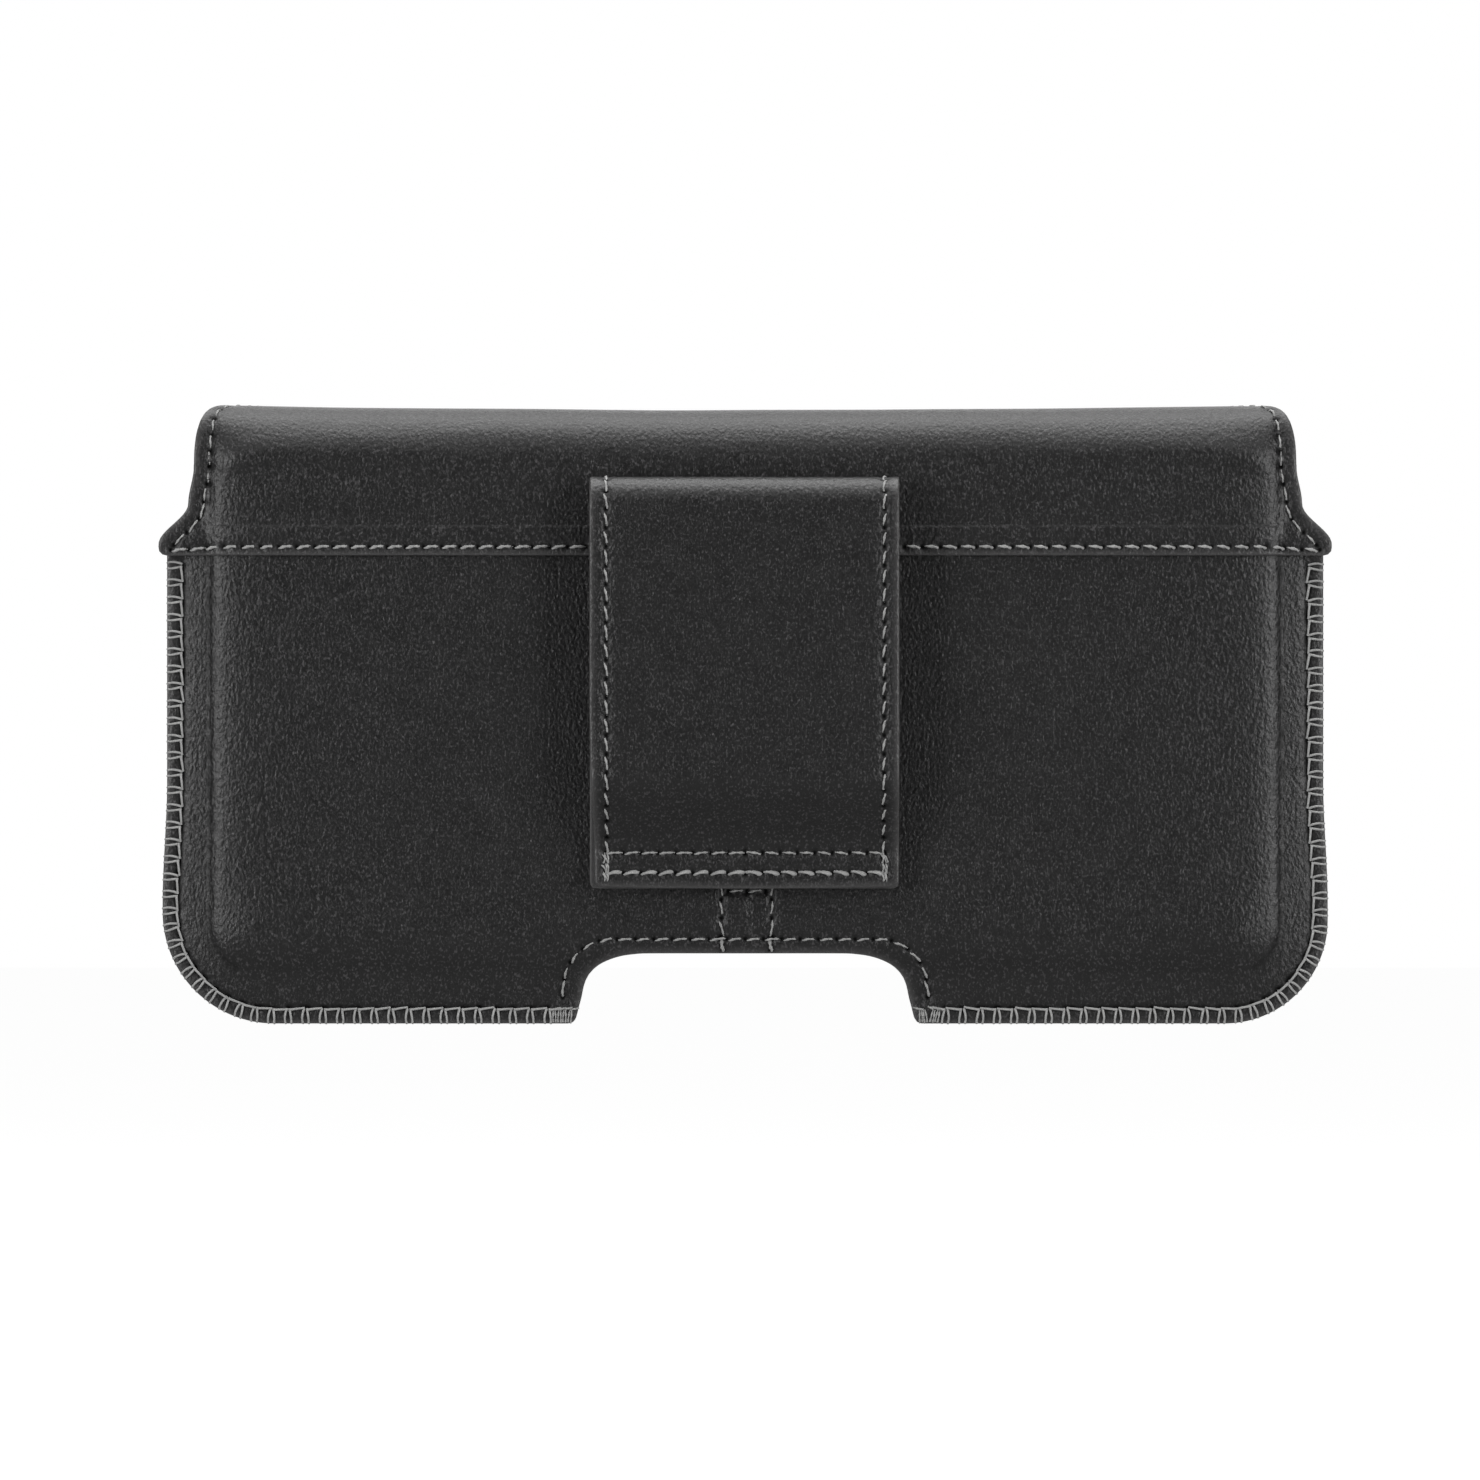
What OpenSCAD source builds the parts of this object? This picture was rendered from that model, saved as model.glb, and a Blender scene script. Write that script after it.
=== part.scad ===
// Horizontal leather phone holster that rides on a waist belt.
// X runs along the phone, -Y is the belt side and +Z is up. The origin is the middle of the belt passage.

/* [Phone pocket] */
// Clear width of the pocket, along the phone
pocket_w = 163; // [150:1:176]
// Clear height of the pocket, from its floor to the top of the phone
pocket_h = 79; // [72:0.5:88]
// Clear depth of the pocket, front to back
pocket_d = 12.5; // [9:0.5:16]
// Depth of the pocket floor below the middle of the belt
floor_drop = 46.2; // [42:0.2:52]
// Height of the front panel's mouth above the middle of the belt
mouth_z = 19; // [14:0.5:21]
// Outer radius of the moulded corners at the foot of the pocket
form_corner_r = 8; // [6.5:0.5:12]
// Outer radius of the front panel's moulded shoulder
shoulder_r = 5.5; // [3:0.25:6.5]
// Radius of the crease where the front panel's wall meets its flange
crease_r = 1.5; // [1:0.1:2.5]
// How far the form stands proud of the flange at the back
form_raise = 1.8; // [1.4:0.1:2.4]

/* [Leather and lining] */
// Thickness of the panel leather, and of the flap's inner leather
leather_t = 1.4; // [1:0.1:1.8]
// Thickness of the flap's outer leather
flap_leather_t = 1.2; // [0.9:0.1:1.6]
// Thickness of the pocket lining
lining_t = 0.6; // [0.4:0.1:0.9]
// Thickness of the stiffening boards
board_t = 1; // [0.6:0.1:1.3]
// Margin between a board and the walls of the form
board_margin = 5.5; // [3:0.5:9]

/* [Outline] */
// Width of the sewn flange at the two sides
side_flange = 6.7; // [5:0.1:9]
// Width of the sewn flange at the foot
foot_flange = 7.4; // [5:0.1:10]
// Radius of the outline's lower corners
outline_r = 17.5; // [12:0.5:24]
// Height of the back panel's top edge above the middle of the belt
panel_top_z = 21.4; // [20:0.2:24]
// Width of the push-out notch
notch_w = 50.8; // [30:0.2:70]
// How far the notch reaches past the pocket floor
notch_reach = 1.5; // [0.8:0.1:3]
// Radius of the notch's upper corners
notch_r = 8.2; // [4:0.2:9]
// Radius where the notch runs out into the lower edge
notch_lip_r = 1.2; // [0.5:0.1:2]

/* [Flap] */
// Height of the flap's rear cut edge above the middle of the belt
leaf_edge_z = 17; // [14:0.5:18]
// How far the flap's ears stand out past the body
ear_proud = 0.8; // [0:0.1:1.5]
// How far the flap's rear leaf steps in from the body's side
leaf_inset = 3.8; // [3:0.1:5]
// How far the rear leaf narrows again by its fold
leaf_taper = 0.8; // [0:0.1:2]
// Height of the ears' upright edge
ear_h = 1.8; // [1.4:0.1:2.4]
// Height over which the ears narrow to the leaf
ear_rise = 6.2; // [5:0.1:6.6]
// How far the flap's front steps in from the body's side
flap_inset = 12.7; // [9:0.1:20]
// Run of the curve in which the flap narrows, from back to front
narrow_run = 16; // [14:0.5:17]
// Outer radius of the fold over the top
fold_r = 9; // [7:0.25:10]
// Head room over the phone
head_room = 4.6; // [3:0.2:8]
// How far the flap's tip hangs below the middle of the belt
flap_drop = 14; // [5:0.5:25]
// Radius of the flap's lower corners
flap_corner_r = 15; // [8:0.5:24]
// Running gap between the closed flap and the stitches under it
flap_gap = 0.3; // [0.2:0.05:0.8]
// Gap between the rear leaf and the flap along the crease
crease_gap = 0.3; // [0.2:0.05:0.6]

/* [Belt loop] */
// Width of the belt loop
loop_w = 47.6; // [30:0.2:60]
// Clear thickness of the belt passage
belt_gap = 6; // [4.5:0.25:8]
// Height of the loop's top fold above the middle of the belt
loop_top_z = 29.1; // [27:0.1:30]
// How far the loop's foot reaches below the middle of the belt
loop_drop = 34.6; // [31:0.1:38]
// Height of the flat, sewn foot of the loop
loop_foot_h = 6.2; // [5:0.1:8]
// Thickness of the loop's outer leather
strap_leather_t = 1.2; // [0.9:0.1:1.6]
// Thickness of the loop's lining
strap_lining_t = 0.8; // [0.5:0.1:1.2]
// Radius of the loop leather where it dips to its foot
dip_r = 5; // [4.5:0.25:7]
// Glue line between the loop's two leaves at its foot
glue_t = 0.1; // [0.05:0.05:0.2]
// Radius of the loop's lower corners
loop_corner_r = 0.8; // [0.4:0.1:2]
// Distance of the two columns beside the centre seam from the middle
seam_column = 3.9; // [3:0.1:4.5]

/* [Closure] */
// Radius of the magnets and of their keeper plates
magnet_r = 6; // [4:0.5:8]
// Distance of each magnet from the middle
magnet_x = 38; // [25:1:55]
// Height of the magnets above the flap's tip
magnet_up = 11; // [10:0.5:16]
// Leather left over each magnet on the flap's inner face
magnet_cover = 0.3; // [0.2:0.05:0.5]

/* [Stitching] */
// Pitch of the running stitches
stitch_pitch = 2.8; // [2.4:0.1:3.6]
// Length of one stitch
stitch_len = 1.9; // [1.4:0.1:2.2]
// Width of the thread
thread_w = 0.6; // [0.4:0.05:0.8]
// How far the thread stands proud of the leather
thread_t = 0.4; // [0.3:0.05:0.6]
// Distance of a running stitch from the cut edge
stitch_inset = 2.3; // [1.8:0.1:3]
// Pitch of the blanket stitch round the flange
blanket_pitch = 2.7; // [2.4:0.1:3.6]
// Reach of the blanket stitch over the flange
blanket_reach = 2.4; // [2:0.1:3]

/* [Hidden] */
$fn = 64;

black_leather = [0.15, 0.145, 0.15];
black_lining = [0.2, 0.2, 0.21];
grey_board = [0.45, 0.43, 0.4];
grey_thread = [0.66, 0.66, 0.65];
bright_steel = [0.75, 0.76, 0.78];

// Turn of one facet along a bend
bend_step = 25;
far = 200;

// Layers from the belt to the front, along Y
strap_t = strap_leather_t + strap_lining_t;
flap_t = flap_leather_t + leather_t;
panel_y = belt_gap / 2 + strap_t;
leaf_y = panel_y - flap_leather_t;
board_y = panel_y + leather_t;
padding_y = board_y + board_t;
flange_y = panel_y + form_raise;
rear_lining_y = flange_y + leather_t;
pocket_y = rear_lining_y + lining_t;
front_lining_y = pocket_y + pocket_d;
front_board_y = front_lining_y + lining_t;
front_leather_y = front_board_y + board_t;
front_y = front_leather_y + leather_t;
flap_in_y = front_y + thread_t + flap_gap;
flap_y = flap_in_y + flap_t;
flange_front_y = pocket_y + lining_t + leather_t;

// Half widths and heights of the form and the outline
wall_t = leather_t + lining_t;
form_half = pocket_w / 2 + wall_t;
form_foot_z = -floor_drop - wall_t;
body_half = form_half + side_flange;
body_foot_z = form_foot_z - foot_flange;
pocket_top_z = pocket_h - floor_drop;
crown_z = pocket_top_z + head_room + flap_t;
notch_top_z = notch_reach - floor_drop;
panel_corner_r = 3;
mouth_corner_r = 1.5;

// The two bends of the step from the form's face down to the flange, on the flap's outer face
step_out_r = flap_t + 0.2;
step_in_r = 0.5;
step_turn = acos(1 - form_raise / (step_out_r + step_in_r));
step_w = (step_out_r + step_in_r) * sin(step_turn);

// The fold over the top and its crease, where the flap turns
fold_z = crown_z - fold_r;
fold_back_y = leaf_y + fold_r;
fold_front_y = flap_y - fold_r;
crease_at = 45;
crease_half = crease_gap / 2 / fold_r * 180 / PI;
ear_half = body_half + ear_proud;
leaf_half = body_half - leaf_inset;
leaf_top_half = leaf_half - leaf_taper;
ear_top_z = leaf_edge_z + ear_h;
flap_half = body_half - flap_inset;
flap_low_z = -flap_drop;

// The belt loop
loop_low_z = -loop_drop;
loop_fold_r = (belt_gap + 2 * strap_t - flap_leather_t) / 2;
loop_fold_y = leaf_y - loop_fold_r;
loop_fold_z = loop_top_z - loop_fold_r;
loop_face_y = -belt_gap / 2 - strap_t;
loop_foot_y = panel_y - 2 * strap_t - glue_t;
dip_inner_r = dip_r - strap_t / 2;
dip_outer_r = dip_r + strap_t / 2;
dip_turn = acos(1 - (loop_foot_y - loop_face_y) / (2 * dip_r));
dip_low_z = loop_low_z + loop_foot_h;
dip_high_z = dip_low_z + 2 * dip_r * sin(dip_turn);
jog_near_r = strap_t;
jog_far_r = 2 * strap_t;
jog_turn = acos(1 - flap_leather_t / (jog_near_r + jog_far_r));
jog_low_z = leaf_edge_z - (jog_near_r + jog_far_r) * sin(jog_turn);

// The centre seam and its backing
seam_half = 0.2;
seam_depth = 0.5;
backing_half = seam_column + stitch_len + seam_half;
backing_t = min(0.6, board_t);

// How many facets a bend gets
function facets(turn) = max(2, round(abs(turn) / bend_step));

// Points along a bend, each with its outward normal; side is 1 when the normal leaves the centre
function bend(c, r, a0, a1, side) = let (count = facets(a1 - a0)) [for (i = [0:count])
    let (a = a0 + (a1 - a0) * i / count)
    [c[0] + r * cos(a), c[1] + r * sin(a), side * cos(a), side * sin(a)]];
function shifted(path, d) = [for (p = path) [p[0] + d * p[2], p[1] + d * p[3]]];
function reversed(v) = [for (i = [len(v) - 1:-1:0]) v[i]];
function mirrored(path) = [for (p = reversed(path)) [-p[0], p[1], -p[2], p[3]]];
function flat_mirror(points) = [for (p = reversed(points)) [-p[0], p[1]]];

// An even S from one upright line to another, dx further in and dz further up
function s_curve(x, z, dx, dz) = let (turn = 2 * atan(dx / dz), r = dz / 2 / sin(turn), count = facets(turn))
    concat([for (i = [0:count]) let (a = turn * i / count)
                [x - r + r * cos(a), z + r * sin(a)]],
           [for (i = [1:count]) let (a = turn * (1 - i / count))
                [x - dx + r - r * cos(a), z + dz - r * sin(a)]]);

// The step beside the form: from its face, at height 0, down to the flange
function step_path(foot, raise) = let (w = step_w, r1 = step_out_r, r2 = step_in_r)
    concat(bend([foot - w, -r1], r1, 90, 90 - step_turn, 1),
           bend([foot, r2 - raise], r2, 270 - step_turn, 270, -1));

// Section across the flap and its rear leaf: x against height over the face
function leaf_section(reach) = let (half = concat(step_path(form_half, form_raise),
                                                  [[reach, -form_raise, 0, 1]]))
    concat(mirrored(half), half);

// Section through the belt loop, on its outer face, as y against z
function loop_path() = concat(
    [[loop_foot_y, loop_low_z - 1, -1, 0]],
    bend([loop_foot_y - dip_inner_r, dip_low_z], dip_inner_r, 0, dip_turn, -1),
    bend([loop_face_y + dip_outer_r, dip_high_z], dip_outer_r, 180 + dip_turn, 180, 1),
    bend([loop_fold_y, loop_fold_z], loop_fold_r, 180, 90, 1),
    bend([loop_fold_y, loop_fold_z], loop_fold_r, 90, 0, 1),
    bend([leaf_y + jog_near_r, leaf_edge_z], jog_near_r, 180, 180 + jog_turn, -1),
    bend([panel_y - jog_far_r, jog_low_z], jog_far_r, jog_turn, 0, 1),
    [[panel_y, loop_low_z - 1, 1, 0]]);

// Section through the front panel's edge: distance out from the corner's centre against y
function front_path(r, shoulder, crease, face_y, flange, reach) = concat(
    [[0, face_y, 0, 1]],
    bend([r - shoulder, face_y - shoulder], shoulder, 90, 0, 1),
    bend([r + crease, flange + crease], crease, 180, 270, -1),
    [[reach, flange, 0, 1]]);

module ribbon(path, d0, d1) {
    polygon(concat(shifted(path, d0), reversed(shifted(path, d1))));
}

// An outline drawn in x and z, given its place and thickness along y
module slab(y0, t) {
    translate([0, y0 + t, 0]) rotate([90, 0, 0]) linear_extrude(t) children();
}

// A section drawn in y and z, run from side to side
module across(w) {
    translate([-w / 2, 0, 0]) rotate([90, 0, 90]) linear_extrude(w) children();
}

module rounded_rect(half, z0, z1, low_r, high_r) {
    translate([-half, z0 + low_r]) square([2 * half, z1 - z0 - low_r - high_r]);
    translate([-half + low_r, z0]) square([2 * (half - low_r), low_r]);
    if (high_r > 0) translate([-half + high_r, z1 - high_r]) square([2 * (half - high_r), high_r]);
    for (side = [-1, 1]) {
        translate([side * (half - low_r), z0 + low_r]) circle(low_r);
        if (high_r > 0) translate([side * (half - high_r), z1 - high_r]) circle(high_r);
    }
}

// The push-out notch, with lips that run out into the lower edge
module notch_shape() {
    half = notch_w / 2;
    rounded_rect(half, body_foot_z - 5, notch_top_z, 1, notch_r);
    difference() {
        translate([-half - notch_lip_r, body_foot_z - 1]) square([notch_w + 2 * notch_lip_r, 1 + notch_lip_r]);
        for (side = [-1, 1]) translate([side * (half + notch_lip_r), body_foot_z + notch_lip_r])
            circle(notch_lip_r);
    }
}

// Sweeps a section up both sides and round the foot of the form; x in the section runs outwards
module form_sweep(half, low_z, high_z, r) {
    for (side = [0, 1]) mirror([side, 0, 0]) translate([half - r, 0, low_z + r]) {
        linear_extrude(high_z - low_z - r) children();
        rotate([-90, 0, 0]) rotate_extrude(angle = 90) children();
    }
    translate([r - half, 0, low_z + r]) rotate([0, 90, 0]) linear_extrude(2 * (half - r)) children();
}

// A moulded panel: flat flange, swept edge and flat face
module moulded(half, low_z, high_z, r, flange_reach, face_y, flange_face_y, t, corner_r) {
    form_sweep(half, low_z, high_z, r) children();
    // The flat face laps over the swept edge, so that the two join at any size
    lap = r / 8;
    translate([r - half - lap, face_y, low_z + r - lap]) cube([2 * (half - r + lap), t, high_z - low_z - r + lap]);
    slab(flange_face_y, t) difference() {
        rounded_rect(body_half, body_foot_z, high_z, outline_r, corner_r);
        rounded_rect(half + flange_reach, low_z - flange_reach, high_z + far, r + flange_reach, 0);
    }
}

module back_panel() {
    color(black_leather) difference() {
        moulded(form_half, form_foot_z, panel_top_z, form_corner_r, 0, panel_y, flange_y, leather_t,
                panel_corner_r)
            translate([0, leaf_y]) mirror([0, 1])
                ribbon(concat([[0, 0, 0, 1]], step_path(form_corner_r, form_raise)),
                       -flap_leather_t, -flap_t);
        slab(0, far) notch_shape();
        translate([-seam_half, panel_y - 1, notch_top_z - 1])
            cube([2 * seam_half, 1 + seam_depth, loop_low_z - notch_top_z + 1]);
    }
}

module board_outline() {
    rounded_rect(form_half - board_margin, notch_top_z + stitch_inset, pocket_top_z - 2, 3, 3);
}

module backing_outline() {
    translate([-backing_half, notch_top_z + stitch_inset + 1])
        square([2 * backing_half, loop_low_z - notch_top_z]);
}

module back_board() {
    color(grey_board) difference() {
        slab(board_y, board_t) board_outline();
        slab(board_y - 1, 1 + backing_t) backing_outline();
    }
}

module seam_backing() {
    color(black_lining) slab(board_y, backing_t) backing_outline();
}

module back_padding() {
    color(grey_board) slab(padding_y, rear_lining_y - padding_y) board_outline();
}

module pocket_lining_rear() {
    color(black_lining) slab(rear_lining_y, lining_t) difference() {
        union() {
            rounded_rect(body_half, body_foot_z, mouth_z, outline_r, mouth_corner_r);
            rounded_rect(leaf_top_half, mouth_z - 5, pocket_top_z - 1, 1, 3);
        }
        notch_shape();
    }
}

module front_panel() {
    color(black_leather) difference() {
        moulded(form_half, form_foot_z, mouth_z, form_corner_r, crease_r, front_leather_y,
                flange_front_y - leather_t, leather_t, mouth_corner_r)
            ribbon(front_path(form_corner_r, shoulder_r, crease_r, front_y, flange_front_y,
                              form_corner_r + crease_r), 0, -leather_t);
        slab(0, far) notch_shape();
    }
}

module pocket_lining_front() {
    lining_r = form_corner_r - leather_t;
    reach = crease_r + leather_t;
    color(black_lining) difference() {
        moulded(form_half - leather_t, form_foot_z + leather_t, mouth_z, lining_r, reach, front_lining_y,
                pocket_y, lining_t, mouth_corner_r)
            ribbon(front_path(lining_r, shoulder_r - leather_t, reach, front_board_y,
                              pocket_y + lining_t, lining_r + reach), 0, -lining_t);
        slab(0, far) notch_shape();
    }
}

module at_magnets(y0, t) {
    for (side = [-1, 1]) translate([side * magnet_x, y0, flap_low_z + magnet_up])
        rotate([-90, 0, 0]) cylinder(r = magnet_r, h = t);
}

module front_board() {
    color(grey_board) difference() {
        slab(front_board_y, board_t)
            rounded_rect(form_half - shoulder_r - leather_t, notch_top_z + stitch_inset, mouth_z - 4, 3, 3);
        at_magnets(front_board_y - 1, board_t + 2);
    }
}

module keeper_plates() {
    color(bright_steel) at_magnets(front_board_y, board_t);
}

// Runs the flap's section round a fold, between two angles that turn from +Y up to +Z
module round_fold(a0, a1, d0, d1) {
    rotate([90, 0, 90]) rotate([0, 0, a0]) rotate_extrude(angle = a1 - a0)
        translate([fold_r, 0]) mirror([1, -1]) ribbon(leaf_section(ear_half + 1), d0, d1);
}

// Outline of the rear leaf: ears at the foot, then an S up to the fold
module leaf_outline() {
    right = concat([[ear_half, leaf_edge_z]],
                   s_curve(ear_half, ear_top_z, ear_half - leaf_half, ear_rise),
                   [[leaf_top_half, fold_z], [leaf_top_half, crown_z + 1]]);
    polygon(concat(right, flat_mirror(right)));
}

// One layer of the rear leaf, from its cut edge up to the crease
module rear_leaf(low_z, d0, d1) {
    intersection() {
        union() {
            translate([0, leaf_y, low_z]) mirror([0, 1, 0]) linear_extrude(fold_z - low_z)
                ribbon(leaf_section(ear_half + 1), d0, d1);
            translate([0, fold_back_y, fold_z]) mirror([0, 1, 0])
                round_fold(0, crease_at - crease_half, d0, d1);
        }
        slab(0, far) leaf_outline();
    }
}

module flap_rear_leaf() {
    color(black_leather) rear_leaf(leaf_edge_z, 0, -flap_leather_t);
}

module flap_rear_lining() {
    color(black_lining) rear_leaf(panel_top_z, -flap_leather_t, -flap_t);
}

// Plan of the flap, which narrows in an S as it comes over the top
module flap_plan() {
    right = concat([[leaf_top_half, 0]],
                   s_curve(leaf_top_half, leaf_y + flap_leather_t, leaf_top_half - flap_half, narrow_run),
                   [[flap_half, flap_y + flap_t]]);
    polygon(concat(right, flat_mirror(right)));
}

// One layer of the moving flap, from the crease over the crown to its tip
module flap_layer(d0, d1) {
    intersection() {
        union() {
            translate([0, fold_back_y, fold_z]) round_fold(90, 180 - crease_at - crease_half, d0, d1);
            translate([0, fold_front_y, crown_z]) rotate([90, 0, 0])
                linear_extrude(fold_front_y - fold_back_y) ribbon(leaf_section(ear_half + 1), d0, d1);
            translate([0, fold_front_y, fold_z]) round_fold(0, 90, d0, d1);
            translate([0, flap_y, flap_low_z]) linear_extrude(fold_z - flap_low_z)
                ribbon(leaf_section(ear_half + 1), d0, d1);
        }
        translate([0, 0, flap_low_z - 1]) linear_extrude(crown_z - flap_low_z + 2) flap_plan();
        slab(0, far) {
            rounded_rect(flap_half, flap_low_z, fold_z + 1, flap_corner_r, 0);
            translate([-leaf_half, fold_z]) square([2 * leaf_half, fold_r + 1]);
        }
    }
}

module flap_leather() {
    color(black_leather) flap_layer(0, -flap_leather_t);
}

module flap_lining() {
    color(black_lining) difference() {
        flap_layer(-flap_leather_t, -flap_t);
        at_magnets(flap_in_y + magnet_cover, leather_t);
    }
}

module flap_magnets() {
    color(bright_steel) at_magnets(flap_in_y + magnet_cover, leather_t - magnet_cover);
}

module loop_layer(d0, d1) {
    intersection() {
        across(loop_w + 2) ribbon(loop_path(), d0, d1);
        slab(-far / 2, far) rounded_rect(loop_w / 2, loop_low_z, loop_top_z + 1, loop_corner_r, 0);
    }
}

module belt_loop() {
    color(black_leather) loop_layer(0, -strap_leather_t);
}

module belt_loop_lining() {
    color(black_lining) loop_layer(-strap_leather_t, -strap_t);
}

// One stitch lying on a surface that faces -Y, or +Y when front is true
module stitch(x, z, turn, face, front = false) {
    translate([x, front ? face + thread_t / 2 : face - thread_t / 2, z]) rotate([0, -turn, 0])
        cube([stitch_len, thread_t, thread_w], center = true);
}

// A straight row of stitches between two points of a face
module stitch_row(x0, z0, x1, z1, face, front = false) {
    run = norm([x1 - x0, z1 - z0]);
    count = floor((run - stitch_len) / stitch_pitch);
    lead = (run - count * stitch_pitch) / 2;
    for (i = [0:count]) let (t = (lead + i * stitch_pitch) / run)
        stitch(x0 + (x1 - x0) * t, z0 + (z1 - z0) * t, atan2(z1 - z0, x1 - x0), face, front);
}

// Stitches round an arc of a face
module stitch_arc(cx, cz, r, a0, a1, face, front = false) {
    run = abs(a1 - a0) * PI / 180 * r;
    count = max(1, round(run / stitch_pitch));
    for (i = [0:count - 1]) let (a = a0 + (a1 - a0) * (i + 0.5) / count)
        stitch(cx + r * cos(a), cz + r * sin(a), a + 90, face, front);
}

module rear_seam_stitching() {
    seam_z = leaf_edge_z + stitch_inset / 2;
    face_half = form_half - step_w - stitch_len / 2;
    color(grey_thread) {
        for (side = [-1, 1]) stitch_row(side * loop_w / 2 + side, seam_z, side * face_half, seam_z, leaf_y);
        for (side = [-1, 1]) stitch_row(side * form_half, seam_z, side * (ear_half - 0.5), seam_z,
                                        leaf_y + form_raise);
    }
}

module flap_side_stitching() {
    side_x = form_half + thread_w / 2 + 0.1;
    color(grey_thread) for (side = [-1, 1])
        stitch_row(side * side_x, ear_top_z + 3, side * side_x, fold_z, leaf_y + form_raise);
}

module flap_front_stitching() {
    row_half = flap_half - stitch_inset;
    tip_z = flap_low_z + stitch_inset;
    r = flap_corner_r;
    color(grey_thread) {
        for (side = [-1, 1]) {
            stitch_row(side * row_half, tip_z + r, side * row_half, fold_z, flap_y, true);
            stitch_arc(side * (row_half - r), tip_z + r, r, 270, 270 + side * 90, flap_y, true);
        }
        stitch_row(r - row_half, tip_z, row_half - r, tip_z, flap_y, true);
    }
}

module belt_loop_stitching() {
    column_x = loop_w / 2 - stitch_inset;
    color(grey_thread) {
        for (side = [-1, 1])
            stitch_row(side * column_x, dip_high_z, side * column_x, loop_fold_z, loop_face_y);
        for (up = [stitch_inset, loop_foot_h - thread_w])
            stitch_row(-column_x, loop_low_z + up, column_x, loop_low_z + up, loop_foot_y);
    }
}

// Running stitch that follows the notch on one face
module notch_row(face, front) {
    row_z = notch_top_z + stitch_inset;
    row_half = notch_w / 2 + stitch_inset;
    r = notch_r + stitch_inset;
    lift = front ? form_foot_z + shoulder_r - notch_top_z : 0;
    stitch_row(r - row_half, row_z + lift, row_half - r, row_z + lift, face, front);
}

module notch_stitching_rear() {
    r = notch_r + stitch_inset;
    x = notch_w / 2 - notch_r;
    z = notch_top_z - notch_r;
    // The arc is sewn on the form's face, and below the step on the flange
    face_a = asin((form_foot_z + step_w - z) / r);
    color(grey_thread) {
        notch_row(panel_y, false);
        for (side = [-1, 1]) {
            stitch_arc(side * x, z, r, 90, 90 - side * (90 - face_a), panel_y);
            stitch(side * (x + r), z, 90, flange_y);
        }
    }
}

module notch_stitching_front() {
    color(grey_thread) notch_row(front_y, true);
}

module centre_seam_stitching() {
    low = notch_top_z + stitch_inset + stitch_len / 2 + thread_w;
    color(grey_thread) for (side = [-1, 1])
        stitch_row(side * seam_column, low, side * seam_column, loop_low_z - thread_w, panel_y);
}

module mouth_stitching() {
    row_z = mouth_z - stitch_inset;
    row_half = form_half - shoulder_r - stitch_len / 2;
    color(grey_thread) stitch_row(-row_half, row_z, row_half, row_z, front_y, true);
}

// One blanket stitch: a thread that goes over the edge, with its chain link on the back
module blanket_stitch() {
    back = flange_y - thread_t;
    front = flange_front_y + thread_t;
    linear_extrude(thread_w) polygon([
        [-blanket_reach, back], [thread_t, back], [thread_t, front], [-blanket_reach, front],
        [-blanket_reach, flange_front_y], [0, flange_front_y], [0, flange_y], [-blanket_reach, flange_y]]);
    link = blanket_pitch - 0.8;
    translate([-blanket_reach - thread_w, back, thread_w - link]) cube([thread_w, thread_t, link]);
}

module edge_stitching() {
    side_run = leaf_edge_z - blanket_reach - body_foot_z - outline_r;
    corner_run = outline_r * PI / 2;
    foot_run = body_half - outline_r - notch_w / 2 - notch_lip_r - blanket_reach;
    count = floor((side_run + corner_run + foot_run) / blanket_pitch);
    color(grey_thread) for (side = [0, 1], i = [0:count]) mirror([side, 0, 0])
        let (s = i * blanket_pitch,
             down = min(s, side_run),
             turn = min(max(s - side_run, 0), corner_run) / outline_r * 180 / PI,
             along = max(s - side_run - corner_run, 0))
            translate([body_half - outline_r - along, 0, body_foot_z + outline_r + side_run - down])
                rotate([0, turn, 0]) translate([outline_r, 0, 0]) blanket_stitch();
}

back_panel();
back_board();
back_padding();
pocket_lining_rear();
front_panel();
front_board();
pocket_lining_front();
keeper_plates();
flap_rear_leaf();
flap_rear_lining();
flap_leather();
flap_lining();
flap_magnets();
belt_loop();
belt_loop_lining();
seam_backing();
rear_seam_stitching();
flap_side_stitching();
flap_front_stitching();
belt_loop_stitching();
notch_stitching_rear();
notch_stitching_front();
centre_seam_stitching();
mouth_stitching();
edge_stitching();
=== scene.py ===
import math

import bpy
import numpy as np
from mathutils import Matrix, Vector, kdtree, noise
from mathutils.geometry import delaunay_2d_cdt


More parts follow.
